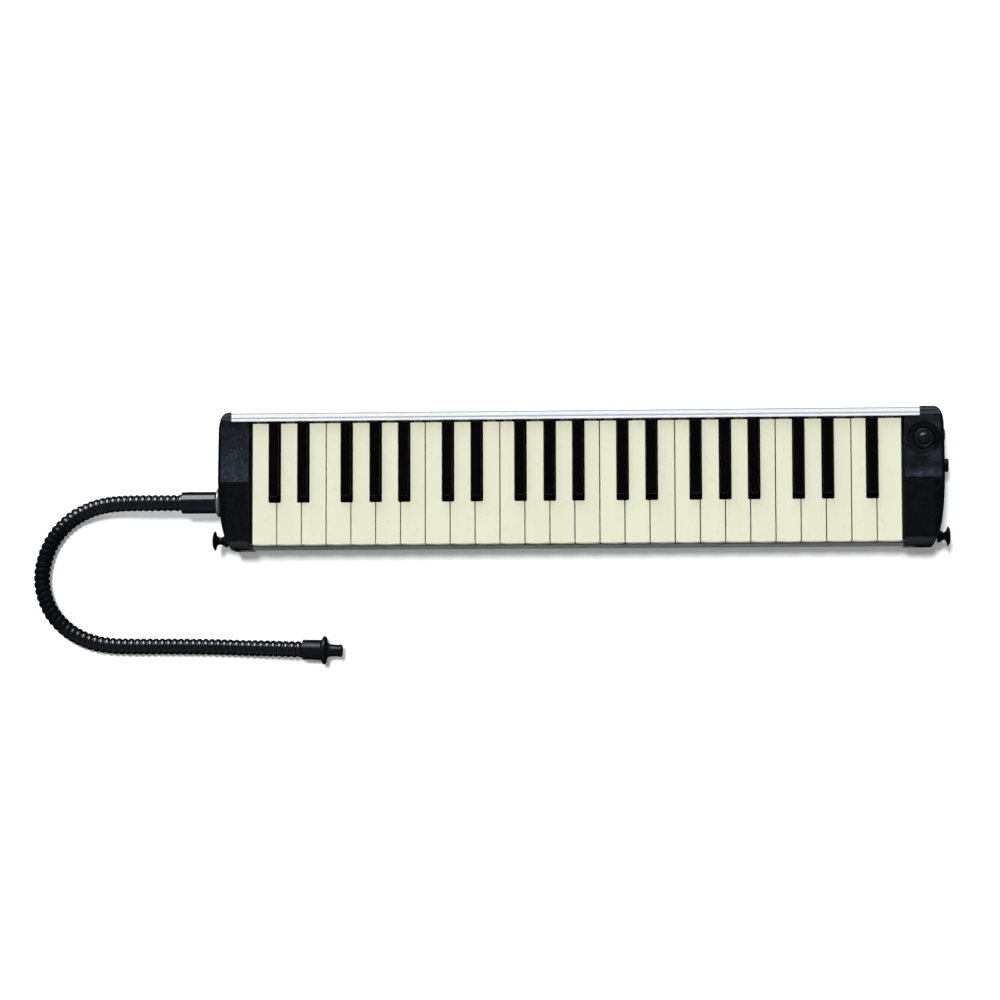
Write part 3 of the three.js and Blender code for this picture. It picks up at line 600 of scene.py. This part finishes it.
def loft(bm, rings, closed=False):
    """Faces between each ring of corners and the next. A ring may be one corner repeated."""
    for a, b in zip(rings, rings[1:] + (rings[:1] if closed else [])):
        for k in range(len(a)):
            corners = list(dict.fromkeys((a[k - 1], a[k], b[k], b[k - 1])))
            if len(corners) > 2:
                bm.faces.new(corners)
    bmesh.ops.recalc_face_normals(bm, faces=bm.faces)


def capped(bm, rings):
    """A solid from the rings, with a face on its first and last ring."""
    bm.faces.new(rings[0])
    bm.faces.new(rings[-1])
    loft(bm, rings)
    return bm


def lathe(points, radii, place, segments, steps=4, closed=False, ripple=lambda along, angle: 0.0):
    """A solid turned about the X axis from (along, radius) points with rounded corners, then moved by the
    matrix `place`. ripple(along, angle) adds to the radius."""
    bm = bmesh.new()
    rings = []
    for along, radius in rounded(points, radii, steps):
        if radius < 1e-6:
            rings.append([bm.verts.new(place @ Vector((along, 0, 0)))] * segments)
            continue
        ring = []
        for k in range(segments):
            angle = 2 * math.pi * k / segments
            reach = radius + ripple(along, angle)
            point = Vector((along, reach * math.cos(angle), reach * math.sin(angle)))
            ring.append(bm.verts.new(place @ point))
        rings.append(ring)
    loft(bm, rings, closed)
    return bm


def along_x(y, z):
    return Matrix.Translation((0, y, z))


def along_z(x, y):
    return Matrix.Translation((x, y, 0)) @ Matrix.Rotation(-math.pi / 2, 4, "Y")


def through(node):
    """An axis along X through the middle of a CAD node."""
    return along_x(*middle(node)[1:])


def ends(node, side):
    """Inner and outer end of a CAD node on the left, side -1, or the right, side 1."""
    low, high = box(node)
    return (low.x, high.x)[::side]


def bar(x0, x1, place, radius):
    """A plain round bar along X, for cutting holes."""
    return lathe([(x0, 0), (x0, radius), (x1, radius), (x1, 0)], [0] * 4, place, 40)


def prism(outline, start, end, axis):
    """The outline drawn out along an axis. It is in (y, z) for X and in (x, y) for Z."""
    bm = bmesh.new()
    return capped(bm, [[bm.verts.new((w, u, v) if axis == "X" else (u, v, w)) for u, v in outline]
                       for w in (start, end)])


def block(x0, x1, y0, y1, z0, z1):
    """A plain box, for cutting and joining."""
    return prism([(x0, y0), (x1, y0), (x1, y1), (x0, y1)], z0, z1, "Z")


def bevel(bm, chosen, width, segments, clamp=True):
    """Rounds the edges that chosen(edge) picks."""
    edges = [edge for edge in bm.edges if len(edge.link_faces) == 2 and chosen(edge)]
    bmesh.ops.bevel(bm, geom=edges, offset=width, segments=segments, profile=0.5, affect="EDGES",
                    clamp_overlap=clamp)


def angle_of(edge):
    return math.degrees(edge.calc_face_angle(0.0))


def top_of(edge):
    return max(vert.co.z for vert in edge.verts)


def cut_away(bm, point, normal):
    """Removes what lies beyond a plane, where its normal points, and closes the cut."""
    geometry = bm.verts[:] + bm.edges[:] + bm.faces[:]
    made = bmesh.ops.bisect_plane(bm, geom=geometry, plane_co=point, plane_no=normal, clear_outer=True)
    edges = [part for part in made["geom_cut"] if isinstance(part, bmesh.types.BMEdge)]
    bmesh.ops.edgeloop_fill(bm, edges=edges)
    bmesh.ops.recalc_face_normals(bm, faces=bm.faces)


def loose_object(bm, name):
    mesh = bpy.data.meshes.new(name)
    bm.to_mesh(mesh)
    bm.free()
    return placed(name, mesh)


def combine(shape, operation, *tools):
    """The shape with the tools cut out of it (DIFFERENCE) or joined to it (UNION)."""
    base = loose_object(shape, "base")
    helpers = [loose_object(tool, "tool") for tool in tools]
    for helper in helpers:
        step = base.modifiers.new("step", "BOOLEAN")
        step.operation = operation
        step.solver = "EXACT"
        step.object = helper
    evaluated = base.evaluated_get(bpy.context.evaluated_depsgraph_get())
    result = bmesh.new()
    result.from_mesh(evaluated.to_mesh())
    for used in [base, *helpers]:
        mesh = used.data
        bpy.data.objects.remove(used)
        bpy.data.meshes.remove(mesh)
    return result


def joined(*shapes):
    """Several shapes as one mesh, left as they are."""
    result = bmesh.new()
    for shape in shapes:
        mesh = bpy.data.meshes.new("part")
        shape.to_mesh(mesh)
        shape.free()
        result.from_mesh(mesh)
        bpy.data.meshes.remove(mesh)
    return result


def piece(name, shape, material, stands_for=(), body="case", smooth=32, scale=MM):
    """Makes a shape a piece that rides on its body and stands for its CAD nodes."""
    bmesh.ops.dissolve_degenerate(shape, dist=1e-5, edges=shape.edges)
    bmesh.ops.scale(shape, vec=(scale,) * 3, verts=shape.verts)
    made = loose_object(shape, name)
    made.data.materials.append(material)
    made.data.shade_smooth()
    made.data.set_sharp_from_angle(angle=math.radians(smooth))
    made.modifiers.new("weighted_normals", "WEIGHTED_NORMAL").keep_sharp = True
    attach(made, body)
    if stands_for:
        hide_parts(*stands_for)
    return made


# ---- keys

def rod_slot(x0, x1, bottom, top):
    """Cuts room for the pivot rod, as wide as a key's slot."""
    rod_y = middle("key_pivot_rod")[1]
    return block(x0, x1, rod_y - ROD_SLOT / 2, rod_y + ROD_SLOT / 2, bottom, top)


def tail_and_slot(shape, centre, back, skirt, rear, top):
    """Joins the arm and its felt pad behind the key, and cuts the slot that rides on the pivot rod."""
    pad_top = skirt + PAD_THICKNESS
    side = [(back - KEY_WALL, skirt), (rear - 1, skirt), (rear - 1, pad_top), (rear, pad_top),
            (rear, top - TAIL_DROP), (back - KEY_WALL, top - TAIL_DROP)]
    tail = prism(side, centre - TAIL_WIDTH / 2, centre + TAIL_WIDTH / 2, "X")
    reach = 20.0
    slot = rod_slot(centre - reach, centre + reach, skirt - reach, middle("key_pivot_rod")[2] + ROD_SLOT / 2)
    return combine(combine(shape, "UNION", tail), "DIFFERENCE", slot)


def white_sides(node):
    """Sides of a white key's narrow part between the black keys, and where that part starts."""
    low, high = box(node)
    left, right, notch = low.x, high.x, None
    for name in BLACK_KEYS:
        black_low, black_high = box(name)
        if black_low.x < low.x < black_high.x + BLACK_GAP:
            left = black_high.x + BLACK_GAP
            notch = black_low.y - NOTCH_CLEAR
        if black_low.x - BLACK_GAP < high.x < black_high.x:
            right = black_low.x - BLACK_GAP
            notch = black_low.y - NOTCH_CLEAR
    return left, right, notch


def white_plan(low, high, sides, back, inset=0.0, front=None):
    """Plan of a white key. Its front bulges unless `front` says where a straight one goes."""
    left, right, notch = sides
    x0, x1 = low.x + inset, high.x - inset
    if front is None:
        steps = [i / 6 for i in range(7)]
        plan = [(x0 + (x1 - x0) * t, low.y + LIP_BULGE * (2 * t - 1) ** 2) for t in steps]
    else:
        plan = [(x0, front), (x1, front)]
    shoulder = (notch or 0.0) - inset
    if right < high.x:
        plan += [(x1, shoulder), (right - inset, shoulder)]
    plan += [(right - inset, back - inset), (left + inset, back - inset)]
    if left > low.x:
        plan += [(left + inset, shoulder), (x0, shoulder)]
    return plan


def add_white_key(node, material):
    """A hollow key with a rounded lip, soft edges and filleted notches."""
    low, high = box(node)
    sides = white_sides(node)
    left, right, notch = sides
    back = high.y - TAIL_LENGTH
    skirt = low.z + SKIRT_RISE
    shape = prism(white_plan(low, high, sides, back), low.z, high.z, "Z")

    def in_notch(edge):
        a, b = (vert.co for vert in edge.verts)
        at_notch = notch is not None and abs(a.y - notch) < 0.01 and low.x + 0.1 < a.x < high.x - 0.1
        return at_notch and abs(a.z - b.z) > 1

    def at_lip(edge):
        return all(v.co.z > high.z - 0.01 and v.co.y < low.y + LIP_BULGE + 0.01 for v in edge.verts)

    bevel(shape, in_notch, NOTCH_ROUND, 4)
    bevel(shape, at_lip, LIP_ROUND, 5)
    bevel(shape, lambda edge: angle_of(edge) > 30 and top_of(edge) > low.z + 0.01, KEY_EDGE, 3)
    lip_back = low.y + LIP_DEPTH
    inner = white_plan(low, high, sides, back, KEY_WALL, lip_back)
    hollow = prism(inner, low.z - 1, high.z - TOP_PLATE, "Z")
    under = block(low.x - 1, high.x + 1, lip_back + KEY_WALL, back + 1, low.z - 1, skirt)
    shape = combine(shape, "DIFFERENCE", hollow, under)
    shape = tail_and_slot(shape, (left + right) / 2, back, skirt, high.y, high.z)
    piece(f"{node}_shell", shape, material, [node], body=node)


def add_black_key(node, material):
    """A tapered key with a crowned top, round edges and a sloped front."""
    low, high = box(node)
    centre, half = (low.x + high.x) / 2, (high.x - low.x) / 2
    back = high.y - TAIL_LENGTH
    slope_z = high.z - BLACK_SLOPE_DROP
    bm = bmesh.new()
    rows = []
    for share in (-1, -0.93, -0.8, -0.55, 0, 0.55, 0.8, 0.93, 1):
        base_x, top_x = centre + share * half, centre + share * (half - BLACK_TAPER)
        top = high.z - BLACK_CROWN * share ** 2
        front = low.y + BLACK_CORNER * (1 - math.sqrt(1 - abs(share) ** 6))
        rows.append([bm.verts.new(point) for point in (
            (base_x, front, low.z), (base_x, front, slope_z), (top_x, front + BLACK_SLOPE, top),
            (top_x, back, top), (base_x, back, slope_z), (base_x, back, low.z))])
    capped(bm, rows)
    bevel(bm, lambda edge: angle_of(edge) > 28 and top_of(edge) > low.z + 0.01, BLACK_EDGE, 4)
    hollow = block(low.x + BLACK_WALL, high.x - BLACK_WALL, low.y + BLACK_SLOPE + KEY_WALL, back - KEY_WALL,
                   low.z - 1, high.z - TOP_PLATE)
    shape = combine(bm, "DIFFERENCE", hollow)
    shape = tail_and_slot(shape, centre, back, low.z, high.y, slope_z)
    piece(f"{node}_shell", shape, material, [node], body=node)


def add_keys():
    ivory, ebony = ivory_plastic(), ebony_plastic()
    for node in WHITE_KEYS:
        add_white_key(node, ivory)
    for node in BLACK_KEYS:
        add_black_key(node, ebony)


# ---- end covers

def cover_plan(side, inner, outer, front, rear, inset=0.0):
    """Plan of an end cover: a bulging outer side between round corners."""
    edge, rear, front = outer - side * inset, rear - inset, front + inset
    stops = [(edge - side * 9, rear), (edge - side * 0.5, rear - 13), (edge, 4.0), (edge - side * 2.2, -33.0),
             (edge - side * 9.5, front)]
    controls = [(edge - side * 1.6, rear), (edge, 20.0), (edge, -16.0), (edge - side * 3.6, -45.0)]
    plan = [(inner, rear), stops[0]]
    for start, control, end in zip(stops, controls, stops[1:]):
        plan += curve(start, control, end, 8)[1:]
    return plan + [(inner, front)]


def cover_skin(side, inner, outer, low, high):
    """The outer form: level behind the crease, falling away in front of it, with round edges."""
    bm = prism(cover_plan(side, inner, outer, low.y, high.y), low.z, high.z, "Z")
    crease, slope, chamfer = [Vector((0, *point)) for point in ((CREASE_Y, high.z), SLOPE_END, CHAMFER_END)]
    for start, end in ((crease, slope), (slope, chamfer)):
        run = end - start
        cut_away(bm, start, Vector((0, run.z, -run.y)).normalized())

    def at_inner(edge):
        return all(abs(v.co.x - inner) < 0.01 for v in edge.verts)

    def around_top(edge):
        normals = sorted(face.normal.z for face in edge.link_faces)
        return normals[0] < 0.05 and normals[1] > 0.3 and not at_inner(edge)

    bevel(bm, around_top, COVER_EDGE, 6, clamp=False)
    bevel(bm, lambda edge: top_of(edge) < low.z + 0.01 and not at_inner(edge), COVER_BOTTOM_EDGE, 4)
    bevel(bm, lambda edge: at_inner(edge) and angle_of(edge) > 40 and top_of(edge) > low.z + 4,
          COVER_INNER_EDGE, 2)
    return bm


def cover_cuts(side, inner, outer, low, high):
    """What both covers lose: hollow, seat of the rail, groove beyond it and line of the crease."""
    rail_low, rail_high = box("top_rail")
    rail_end = rail_low.x - RAIL_GAP if side < 0 else rail_high.x + RAIL_GAP
    past_inner, past_outer = inner - side, outer + side
    hollow_plan = cover_plan(side, past_inner, outer, low.y, high.y, COVER_WALL + 0.2)
    hollow = prism(hollow_plan, low.z + COVER_WALL, 36.0, "Z")
    room = [(-30.0, 35.0), (50.5, 35.0), (50.5, 40.5), (-30.0, 40.5)]
    upper = prism(room, inner + side * COVER_WALL, outer - side * 9, "X")
    under = rail_high.z - RAIL_THICKNESS - RAIL_GAP
    past_rail = sorted((past_inner, rail_end))
    seat = block(*past_rail, rail_low.y - RAIL_GAP, high.y + 1, under, high.z + 2)
    leg = block(*past_rail, high.y - 2.3, high.y + 1, rail_low.z - RAIL_GAP, high.z)
    groove_floor, above = high.z - 0.5, high.z + 1
    groove = rounded([(rail_low.y - 0.3, above), (rail_low.y, groove_floor),
                      (high.y - COVER_EDGE - 0.4, groove_floor), (high.y - COVER_EDGE, above)],
                     [0, 0.3, 0.3, 0])
    strip = prism(groove, rail_end - side * 0.2, outer - side * COVER_EDGE, "X")
    line = [(CREASE_Y - 0.5, high.z + 0.2), (CREASE_Y, high.z - 0.5), (CREASE_Y + 0.5, high.z + 0.2)]
    crease = prism(line, past_inner, past_outer, "X")
    return [hollow, upper, seat, leg, strip, crease]


def knob_pocket():
    """The round pocket of the knob, the dish about it and the hole for its shaft."""
    low, high = box("volume_knob")
    top = box("right_end_cover")[1].z
    radius = (high.x - low.x) / 2 + KNOB_CLEARANCE
    floor, shaft = top - 4.0, 3.7
    points = [(low.z + 1, 0), (low.z + 1, shaft), (floor, shaft), (floor, radius), (top - 1.4, radius),
              (top - 1.05, DISH_RADIUS - 0.8), (top + 0.5, DISH_RADIUS), (top + 3, DISH_RADIUS), (top + 3, 0)]
    return lathe(points, [0, 0, 0, 0.5, 0.4, 0.5, 0, 0, 0], along_z(*middle("volume_knob")[:2]), 72)


def add_cover(side, node, holes, material):
    form = (side, *ends(node, side), *box(node))
    shape = combine(cover_skin(*form), "DIFFERENCE", *cover_cuts(*form), *holes)
    piece(f"{node}_shell", shape, material, [node])


def add_covers(material):
    """Both end covers, with holes for what passes through their end walls."""
    left, right = box("left_end_cover")[0].x - 5, box("right_end_cover")[1].x + 5
    add_cover(-1, "left_end_cover", [
        bar(left, box("inlet_collar")[1].x + 2, through("inlet_collar"), INLET_HOLE),
        bar(left, box("strap_button_left")[1].x + 0.2, through("strap_button_left"), BUTTON_HOLE),
    ], material)
    room = 280
    add_cover(1, "right_end_cover", [
        knob_pocket(),
        bar(room, right, through("drain_button"), BUTTON_HOLE),
        bar(room, right, along_x(*socket_middle()), SOCKET_HOLE),
        bar(box("strap_button_right")[0].x - 0.2, right, through("strap_button_right"), BUTTON_HOLE),
    ], material)


# ---- rail and case

def add_rail(material):
    """An angle extrusion: two bands with grooves, and a round corner into the leg."""
    low, high = box("top_rail")
    front, rear, top, leg = low.y, high.y, high.z, low.z
    under = top - RAIL_THICKNESS
    corners = [(front, under), (front, top), (front + 1.6, top), (front + 1.9, top - 0.6),
               (front + 2.8, top - 0.6), (front + 3.1, top), (rear - 2.5, top), (rear - 2.2, top - 0.5),
               (rear - 1.6, top - 0.5), (rear - 1.4, top - 0.1), (rear, top - 0.7), (rear, leg),
               (rear - 2, leg), (rear - 2, under)]
    radii = [0.2, 0.6, 0.25, 0.3, 0.3, 0.25, 0.25, 0.25, 0.2, 0.3, 0.6, 0.3, 0.2, 0.8]
    bm = prism(rounded(corners, radii), low.x, high.x, "X")

    def front_end(edge):
        a, b = (v.co for v in edge.verts)
        return a.y < front + 0.01 and b.y < front + 0.01 and abs(a.x - b.x) < 0.01 and abs(a.z - b.z) > 0.8

    bevel(bm, front_end, RAIL_END_ROUND, 4)
    piece("top_rail_extrusion", bm, material, ["top_rail"])


def add_case(material):
    """The tray, with grooves along its walls, end walls and posts for the rod."""
    low, high = box("lower_case")
    wall_top, floor, bottom = 25.5, 4.5, 2.0
    corners = [(-52.5, wall_top), (low.y, 19), (low.y, 13.6), (low.y + 0.7, 13.2), (low.y + 0.7, 12.4),
               (low.y, 12), (low.y, 7), (-50.5, bottom), (50.5, bottom), (high.y, 7), (high.y, 17),
               (high.y - 0.7, 17.4), (high.y - 0.7, 18.2), (high.y, 18.6), (high.y, high.z), (53, high.z),
               (53, 8), (50, floor), (-49.5, floor), (-52, 8), (-52, 18), (-51, wall_top)]
    radii = [0.5, 4, 0.2, 0.2, 0.2, 0.2, 3, 3, 3, 3, 0.2, 0.2, 0.2, 0.2, 0.3, 0.3, 1, 1, 1, 1, 1, 0.3]
    shape = prism(rounded(corners, radii, 3), low.x, high.x, "X")
    rod_y, under_rod = middle("key_pivot_rod")[1], box("key_pivot_rod")[0].z - 0.3
    additions = []
    for x0, x1 in ((low.x, low.x + 1.5), (high.x - 1.5, high.x)):
        wall = block(x0, x1, -51.5, 34.5, floor - 0.5, 36)
        additions.append(combine(wall, "DIFFERENCE", rod_slot(x0 - 1, x1 + 1, under_rod, 41)))
    for index in (2, 7, 12, 18, 23):
        left, right, _ = white_sides(WHITE_KEYS[index])
        x = (left + right) / 2
        additions.append(block(x - 1.5, x + 1.5, rod_y - 3, rod_y + 3, floor - 0.5, under_rod))
    shape = combine(shape, "UNION", *additions)
    piece("lower_case_tray", shape, material, ["lower_case"])


def add_feet(material):
    """Four rubber pads, each with a chamfered rim and a dimple."""
    points = [(2.2, 0), (2.2, 6), (0.0, 5.4), (0.0, 2.2), (0.5, 1.4), (0.5, 0)]
    x = middle("lower_case")[0]
    pads = [lathe(points, [0, 0.5, 0.8, 0.4, 0.3, 0], along_z(x + side * 235, y), 40)
            for side in (-1, 1) for y in (-38, 38)]
    piece("rubber_feet", joined(*pads), material)


def screw(place, radius=2.7):
    """A pan head with a cross recess. It faces along the X axis of `place`."""
    arm, slot = radius * 0.55, 0.35
    head = lathe([(-1.0, 0), (-1.0, radius), (0.2, radius), (0.9, arm), (1.0, 0)], [0, 0, 0.4, 0.8, 0],
                 Matrix.Identity(4), 32)
    head = combine(head, "DIFFERENCE", block(0.25, 2, -slot, slot, -arm, arm),
                   block(0.25, 2, -arm, arm, -slot, slot))
    bmesh.ops.transform(head, matrix=place, verts=head.verts)
    return head


def add_screws(material):
    """Screws up through the bottom: two rows along the case, and two in each cover."""
    down = Matrix.Rotation(math.pi / 2, 4, "Y")
    low, high = box("lower_case")
    case_screws = [(low.x + 40 + i * (high.x - low.x - 80) / 4, y) for i in range(5) for y in (-30, 30)]
    cover_screws = [(x, y) for x in (-274, 275) for y in (-34, 40)]
    heads = [screw(Matrix.Translation((x, y, 1.9)) @ down) for x, y in case_screws + cover_screws]
    piece("case_screws", joined(*heads), material)


# ---- fittings

def socket_middle():
    """Depth and height of the output socket's axis, from the record's opening."""
    low, high = (Vector(corner) / MM for corner in frame["record"]["physics"]["openings"][0]["box_m"])
    return (low.y + high.y) / 2, (low.z + high.z) / 2


def add_socket(material):
    """The socket's bush with its bore, and the hexagon nut that holds it in the cover."""
    y, z = socket_middle()
    place, face, reach = along_x(y, z), 291.0, 6.4
    bush = lathe([(face - 16, 3.3), (face - 16, 4.4), (face + 2.6, 4.4), (face + 2.6, 3.3)], [0, 0, 0.5, 0.5],
                 place, 48, closed=True)
    washer = lathe([(face, 4.6), (face, 6.9), (face + 0.6, 6.9), (face + 0.6, 4.6)], [0.15] * 4, place, 64,
                   closed=True)
    turns = [i * math.pi / 3 for i in range(6)]
    nut = prism([(y + reach * math.cos(turn), z + reach * math.sin(turn)) for turn in turns],
                face + 0.6, face + 2.0, "X")
    bevel(nut, lambda edge: angle_of(edge) > 50, 0.25, 2)
    nut = combine(nut, "DIFFERENCE", bar(face, face + 3, place, 4.45))
    piece("output_socket", joined(bush, washer, nut), material)


def add_inlet(nickel, gloss):
    """The bright beaded collar, and the gloss sleeve that plugs the hose into it."""
    low, high = box("inlet_collar")
    place = through("inlet_collar")
    outer, radius = low.x, (high.z - low.z) / 2
    bead = [(outer, 6.1), (outer, radius - 1.5), (outer + 0.9, radius), (outer + 1.9, radius),
            (outer + 2.7, radius - 1.2), (outer + 2.7, 9.4), (high.x, 9.4), (high.x, 6.1)]
    shape = lathe(bead, [0.4, 0.8, 0.7, 0.7, 0.6, 0.2, 0.3, 0.3], place, 96, 6, closed=True)
    piece("inlet_collar_bead", shape, nickel, ["inlet_collar"])

    low, high = box("hose_connector")
    end, radius = low.x, (high.z - low.z) / 2
    shoulder = outer - 0.3
    sleeve = [(end, HOSE_BORE), (end, radius - 0.2), (end + 4, radius), (shoulder, radius), (shoulder, 5.5),
              (high.x, 5.2), (high.x, 3.6), (end + 6, 3.6), (end + 6, HOSE_BORE)]
    shape = lathe(sleeve, [0.5, 1.1, 0.6, 1.2, 0.4, 0.5, 0.3, 0, 0.2], place, 96, 6, closed=True)
    return piece("hose_connector_sleeve", shape, gloss, ["hose_connector"])


def add_mouthpiece(material):
    """A socket for the hose, a flared lip guard, and a nozzle with a beaded tip."""
    start, before = Vector(HOSE_ROUTE[-1]) / MM, Vector(HOSE_ROUTE[-3]) / MM
    heading = math.atan2(start.y - before.y, start.x - before.x)
    place = Matrix.Translation(start + Vector((0.3, 0, 0))) @ Matrix.Rotation(heading, 4, "Z")
    length = (box("mouthpiece")[1].x - start.x - 0.4) / math.cos(heading)
    points = [(0, HOSE_BORE), (0, 8.0), (13.4, 8.2), (15.8, 8.4), (16.6, 11.4), (19.2, 11.4), (20.0, 7.2),
              (21.6, 5.1), (length - 3.4, 4.7), (length - 2.6, 5.1), (length, 5.0), (length, 2.6), (7, 2.6),
              (7, HOSE_BORE)]
    radii = [0.4, 1.0, 2.0, 1.2, 1.1, 1.1, 1.2, 1.6, 0.6, 0.6, 0.9, 0.5, 0, 0.3]
    shape = lathe(points, radii, place, 96, 6, closed=True)
    return piece("mouthpiece_moulding", shape, material, ["mouthpiece"])


def add_knob(material):
    """A skirt with a fluted rim and a pointer groove, and a round dome."""
    low, high = box("volume_knob")
    x, y, _ = middle("volume_knob")
    radius = (high.x - low.x) / 2
    floor = box("right_end_cover")[1].z - 3.6
    points = [(low.z, 0), (low.z, 3), (floor, 3), (floor, radius), (46.1, radius), (46.9, radius - 1.2),
              (46.4, 5.4), (46.7, 4.4), (48.6, 4.1), (high.z - 0.3, 3.0), (high.z, 0)]
    radii = [0, 0, 0, 0.3, 0.6, 1.0, 0.8, 0.4, 1.0, 1.4, 0]

    def flutes(along, angle):
        on_rim = max(0.0, 1.0 - abs(along - 45.2) / 1.5) if along > floor + 0.1 else 0.0
        return -0.3 * on_rim * (0.5 + 0.5 * math.cos(24 * angle))

    shape = lathe(points, radii, along_z(x, y), 192, 5, ripple=flutes)
    pointer = block(x - 0.35, x + 0.35, y + 5.2, y + radius - 0.6, 46.0, high.z)
    shape = combine(shape, "DIFFERENCE", pointer)
    piece("volume_knob_cap", shape, material, ["volume_knob"], body="volume_knob")


def add_drain_button(material):
    """A round button with a dished face, and the flange that keeps it in the cover."""
    low, high = box("drain_button")
    end, radius, flange = high.x, 5.3, (284.6, 286.4)
    points = [(low.x, 0), (low.x, 3), (flange[0], 3), (flange[0], 7), (flange[1], 7), (flange[1], radius),
              (end, radius), (end, 3.4), (end - 0.5, 2.2), (end - 0.6, 0)]
    shape = lathe(points, [0, 0.3, 0.2, 0.3, 0.3, 0.2, 0.9, 0.6, 0.6, 0], through("drain_button"), 64, 5)
    piece("drain_button_cap", shape, material, ["drain_button"], body="drain_button")


def add_strap_buttons(material):
    """Flared necks with lens-shaped heads."""
    for node, side in (("strap_button_left", -1), ("strap_button_right", 1)):
        seat, end = ends(node, side)
        depth = abs(end - seat)
        points = [(0, 0), (0, 5.2), (1.8, 5.2), (4.4, 3.2), (depth - 5.2, 2.9), (depth - 3.4, 4.2),
                  (depth - 2.2, 7.8), (depth - 1.5, 7.8), (depth, 5.2), (depth, 0)]
        outward = Matrix.Rotation(0 if side > 0 else math.pi, 4, "Z")
        place = Matrix.Translation((seat, 0, 0)) @ through(node) @ outward
        shape = lathe(points, [0, 0.3, 0.8, 1.6, 1.2, 1.4, 0.5, 0.5, 2.2, 0], place, 72, 6)
        piece(f"{node}_turned", shape, material, [node])


# ---- hose

def smooth_line(points, spacing):
    """A curve through the points, as new points a fixed distance apart."""
    route = [Vector(point) for point in points]
    ends = [2 * route[0] - route[1], *route, 2 * route[-1] - route[-2]]
    dense, steps = [], 24
    for p0, p1, p2, p3 in zip(ends, ends[1:], ends[2:], ends[3:]):
        for step in range(steps):
            t = step / steps
            dense.append(0.5 * (2 * p1 + (p2 - p0) * t + (2 * p0 - 5 * p1 + 4 * p2 - p3) * t ** 2
                                + (3 * p1 - p0 - 3 * p2 + p3) * t ** 3))
    dense.append(route[-1])
    line, travelled = [dense[0]], 0.0
    for a, b in zip(dense, dense[1:]):
        length = (b - a).length
        while travelled + length >= spacing:
            a = a.lerp(b, (spacing - travelled) / length)
            line.append(a)
            length = (b - a).length
            travelled = 0.0
        travelled += length
    return line


def hose_line():
    """The middle of the hose, from inside the connector to inside the mouthpiece."""
    start, before_end, end = (Vector(HOSE_ROUTE[i]) for i in (0, -2, -1))
    first = start + Vector((HOSE_OVERLAP * MM, 0, 0))
    last = end + (end - before_end).normalized() * (HOSE_OVERLAP * MM)
    return smooth_line([first, *HOSE_ROUTE[1:-1], last], RIB_PITCH * MM / RINGS_A_TURN)


def add_hose(line, material):
    """A hose with one long helical rib, swept along the line."""
    radius = HOSE_DIAMETER / 2 * MM
    across = Vector((0, 0, 1))
    bm = bmesh.new()
    rings = []
    for i, point in enumerate(line):
        heading = (line[min(i + 1, len(line) - 1)] - line[max(i - 1, 0)]).normalized()
        across = (across - across.dot(heading) * heading).normalized()
        beside = heading.cross(across)
        ring = []
        for k in range(HOSE_SIDES):
            angle = 2 * math.pi * k / HOSE_SIDES
            phase = math.pi * (i / RINGS_A_TURN - k / HOSE_SIDES)
            height = abs(math.sin(phase)) ** RIB_FULLNESS
            rib = 1.0 - RIB_DEPTH * MM / radius * (1.0 - height)
            outward = across * math.cos(angle) + beside * math.sin(angle)
            ring.append(bm.verts.new(point + outward * radius * rib))
        rings.append(ring)
    return piece("hose_ribbed", capped(bm, rings), material, ["hose"], smooth=75, scale=1.0)


# ---- the melodica

def dress_hidden_works():
    """Finishes for the CAD parts inside the case, which keep their shapes."""
    finishes = {
        "key_pivot_rod": steel("rod_steel", (0.07, 0.07, 0.07), 0.35, 0.5),
        "key_springs": steel("spring_steel", (0.42, 0.43, 0.45), 0.28, 0.42),
        "reed_chamber": inner_plastic(),
        "reed_plate": reed_brass(),
    }
    for node, material in finishes.items():
        for slot in frame["nodes"][node].material_slots:
            slot.material = material


def build():
    nickel = bright_nickel()
    gloss = gloss_plastic("gloss_black", (0.004, 0.0065, 0.0095), 0.14, 0.26, 1.0)
    add_keys()
    add_covers(cover_plastic())
    add_rail(rail_aluminium())
    add_case(case_plastic())
    add_feet(black_rubber())
    add_screws(steel("screw_steel", (0.16, 0.16, 0.165), 0.3, 0.5))
    add_socket(nickel)
    sleeve = add_inlet(nickel, gloss)
    mouthpiece = add_mouthpiece(gloss_plastic("mouthpiece_black", (0.004, 0.006, 0.009), 0.24, 0.34, 0.05))
    add_knob(knob_plastic())
    dull = ((0.002, 0.002, 0.003), 0.35, 0.5, 0.0)
    add_drain_button(gloss_plastic("button_black", *dull))
    add_strap_buttons(gloss_plastic("strap_button_black", *dull))
    line = hose_line()
    hose = add_hose(line, hose_plastic())
    dress_hidden_works()


add_studio()
build()
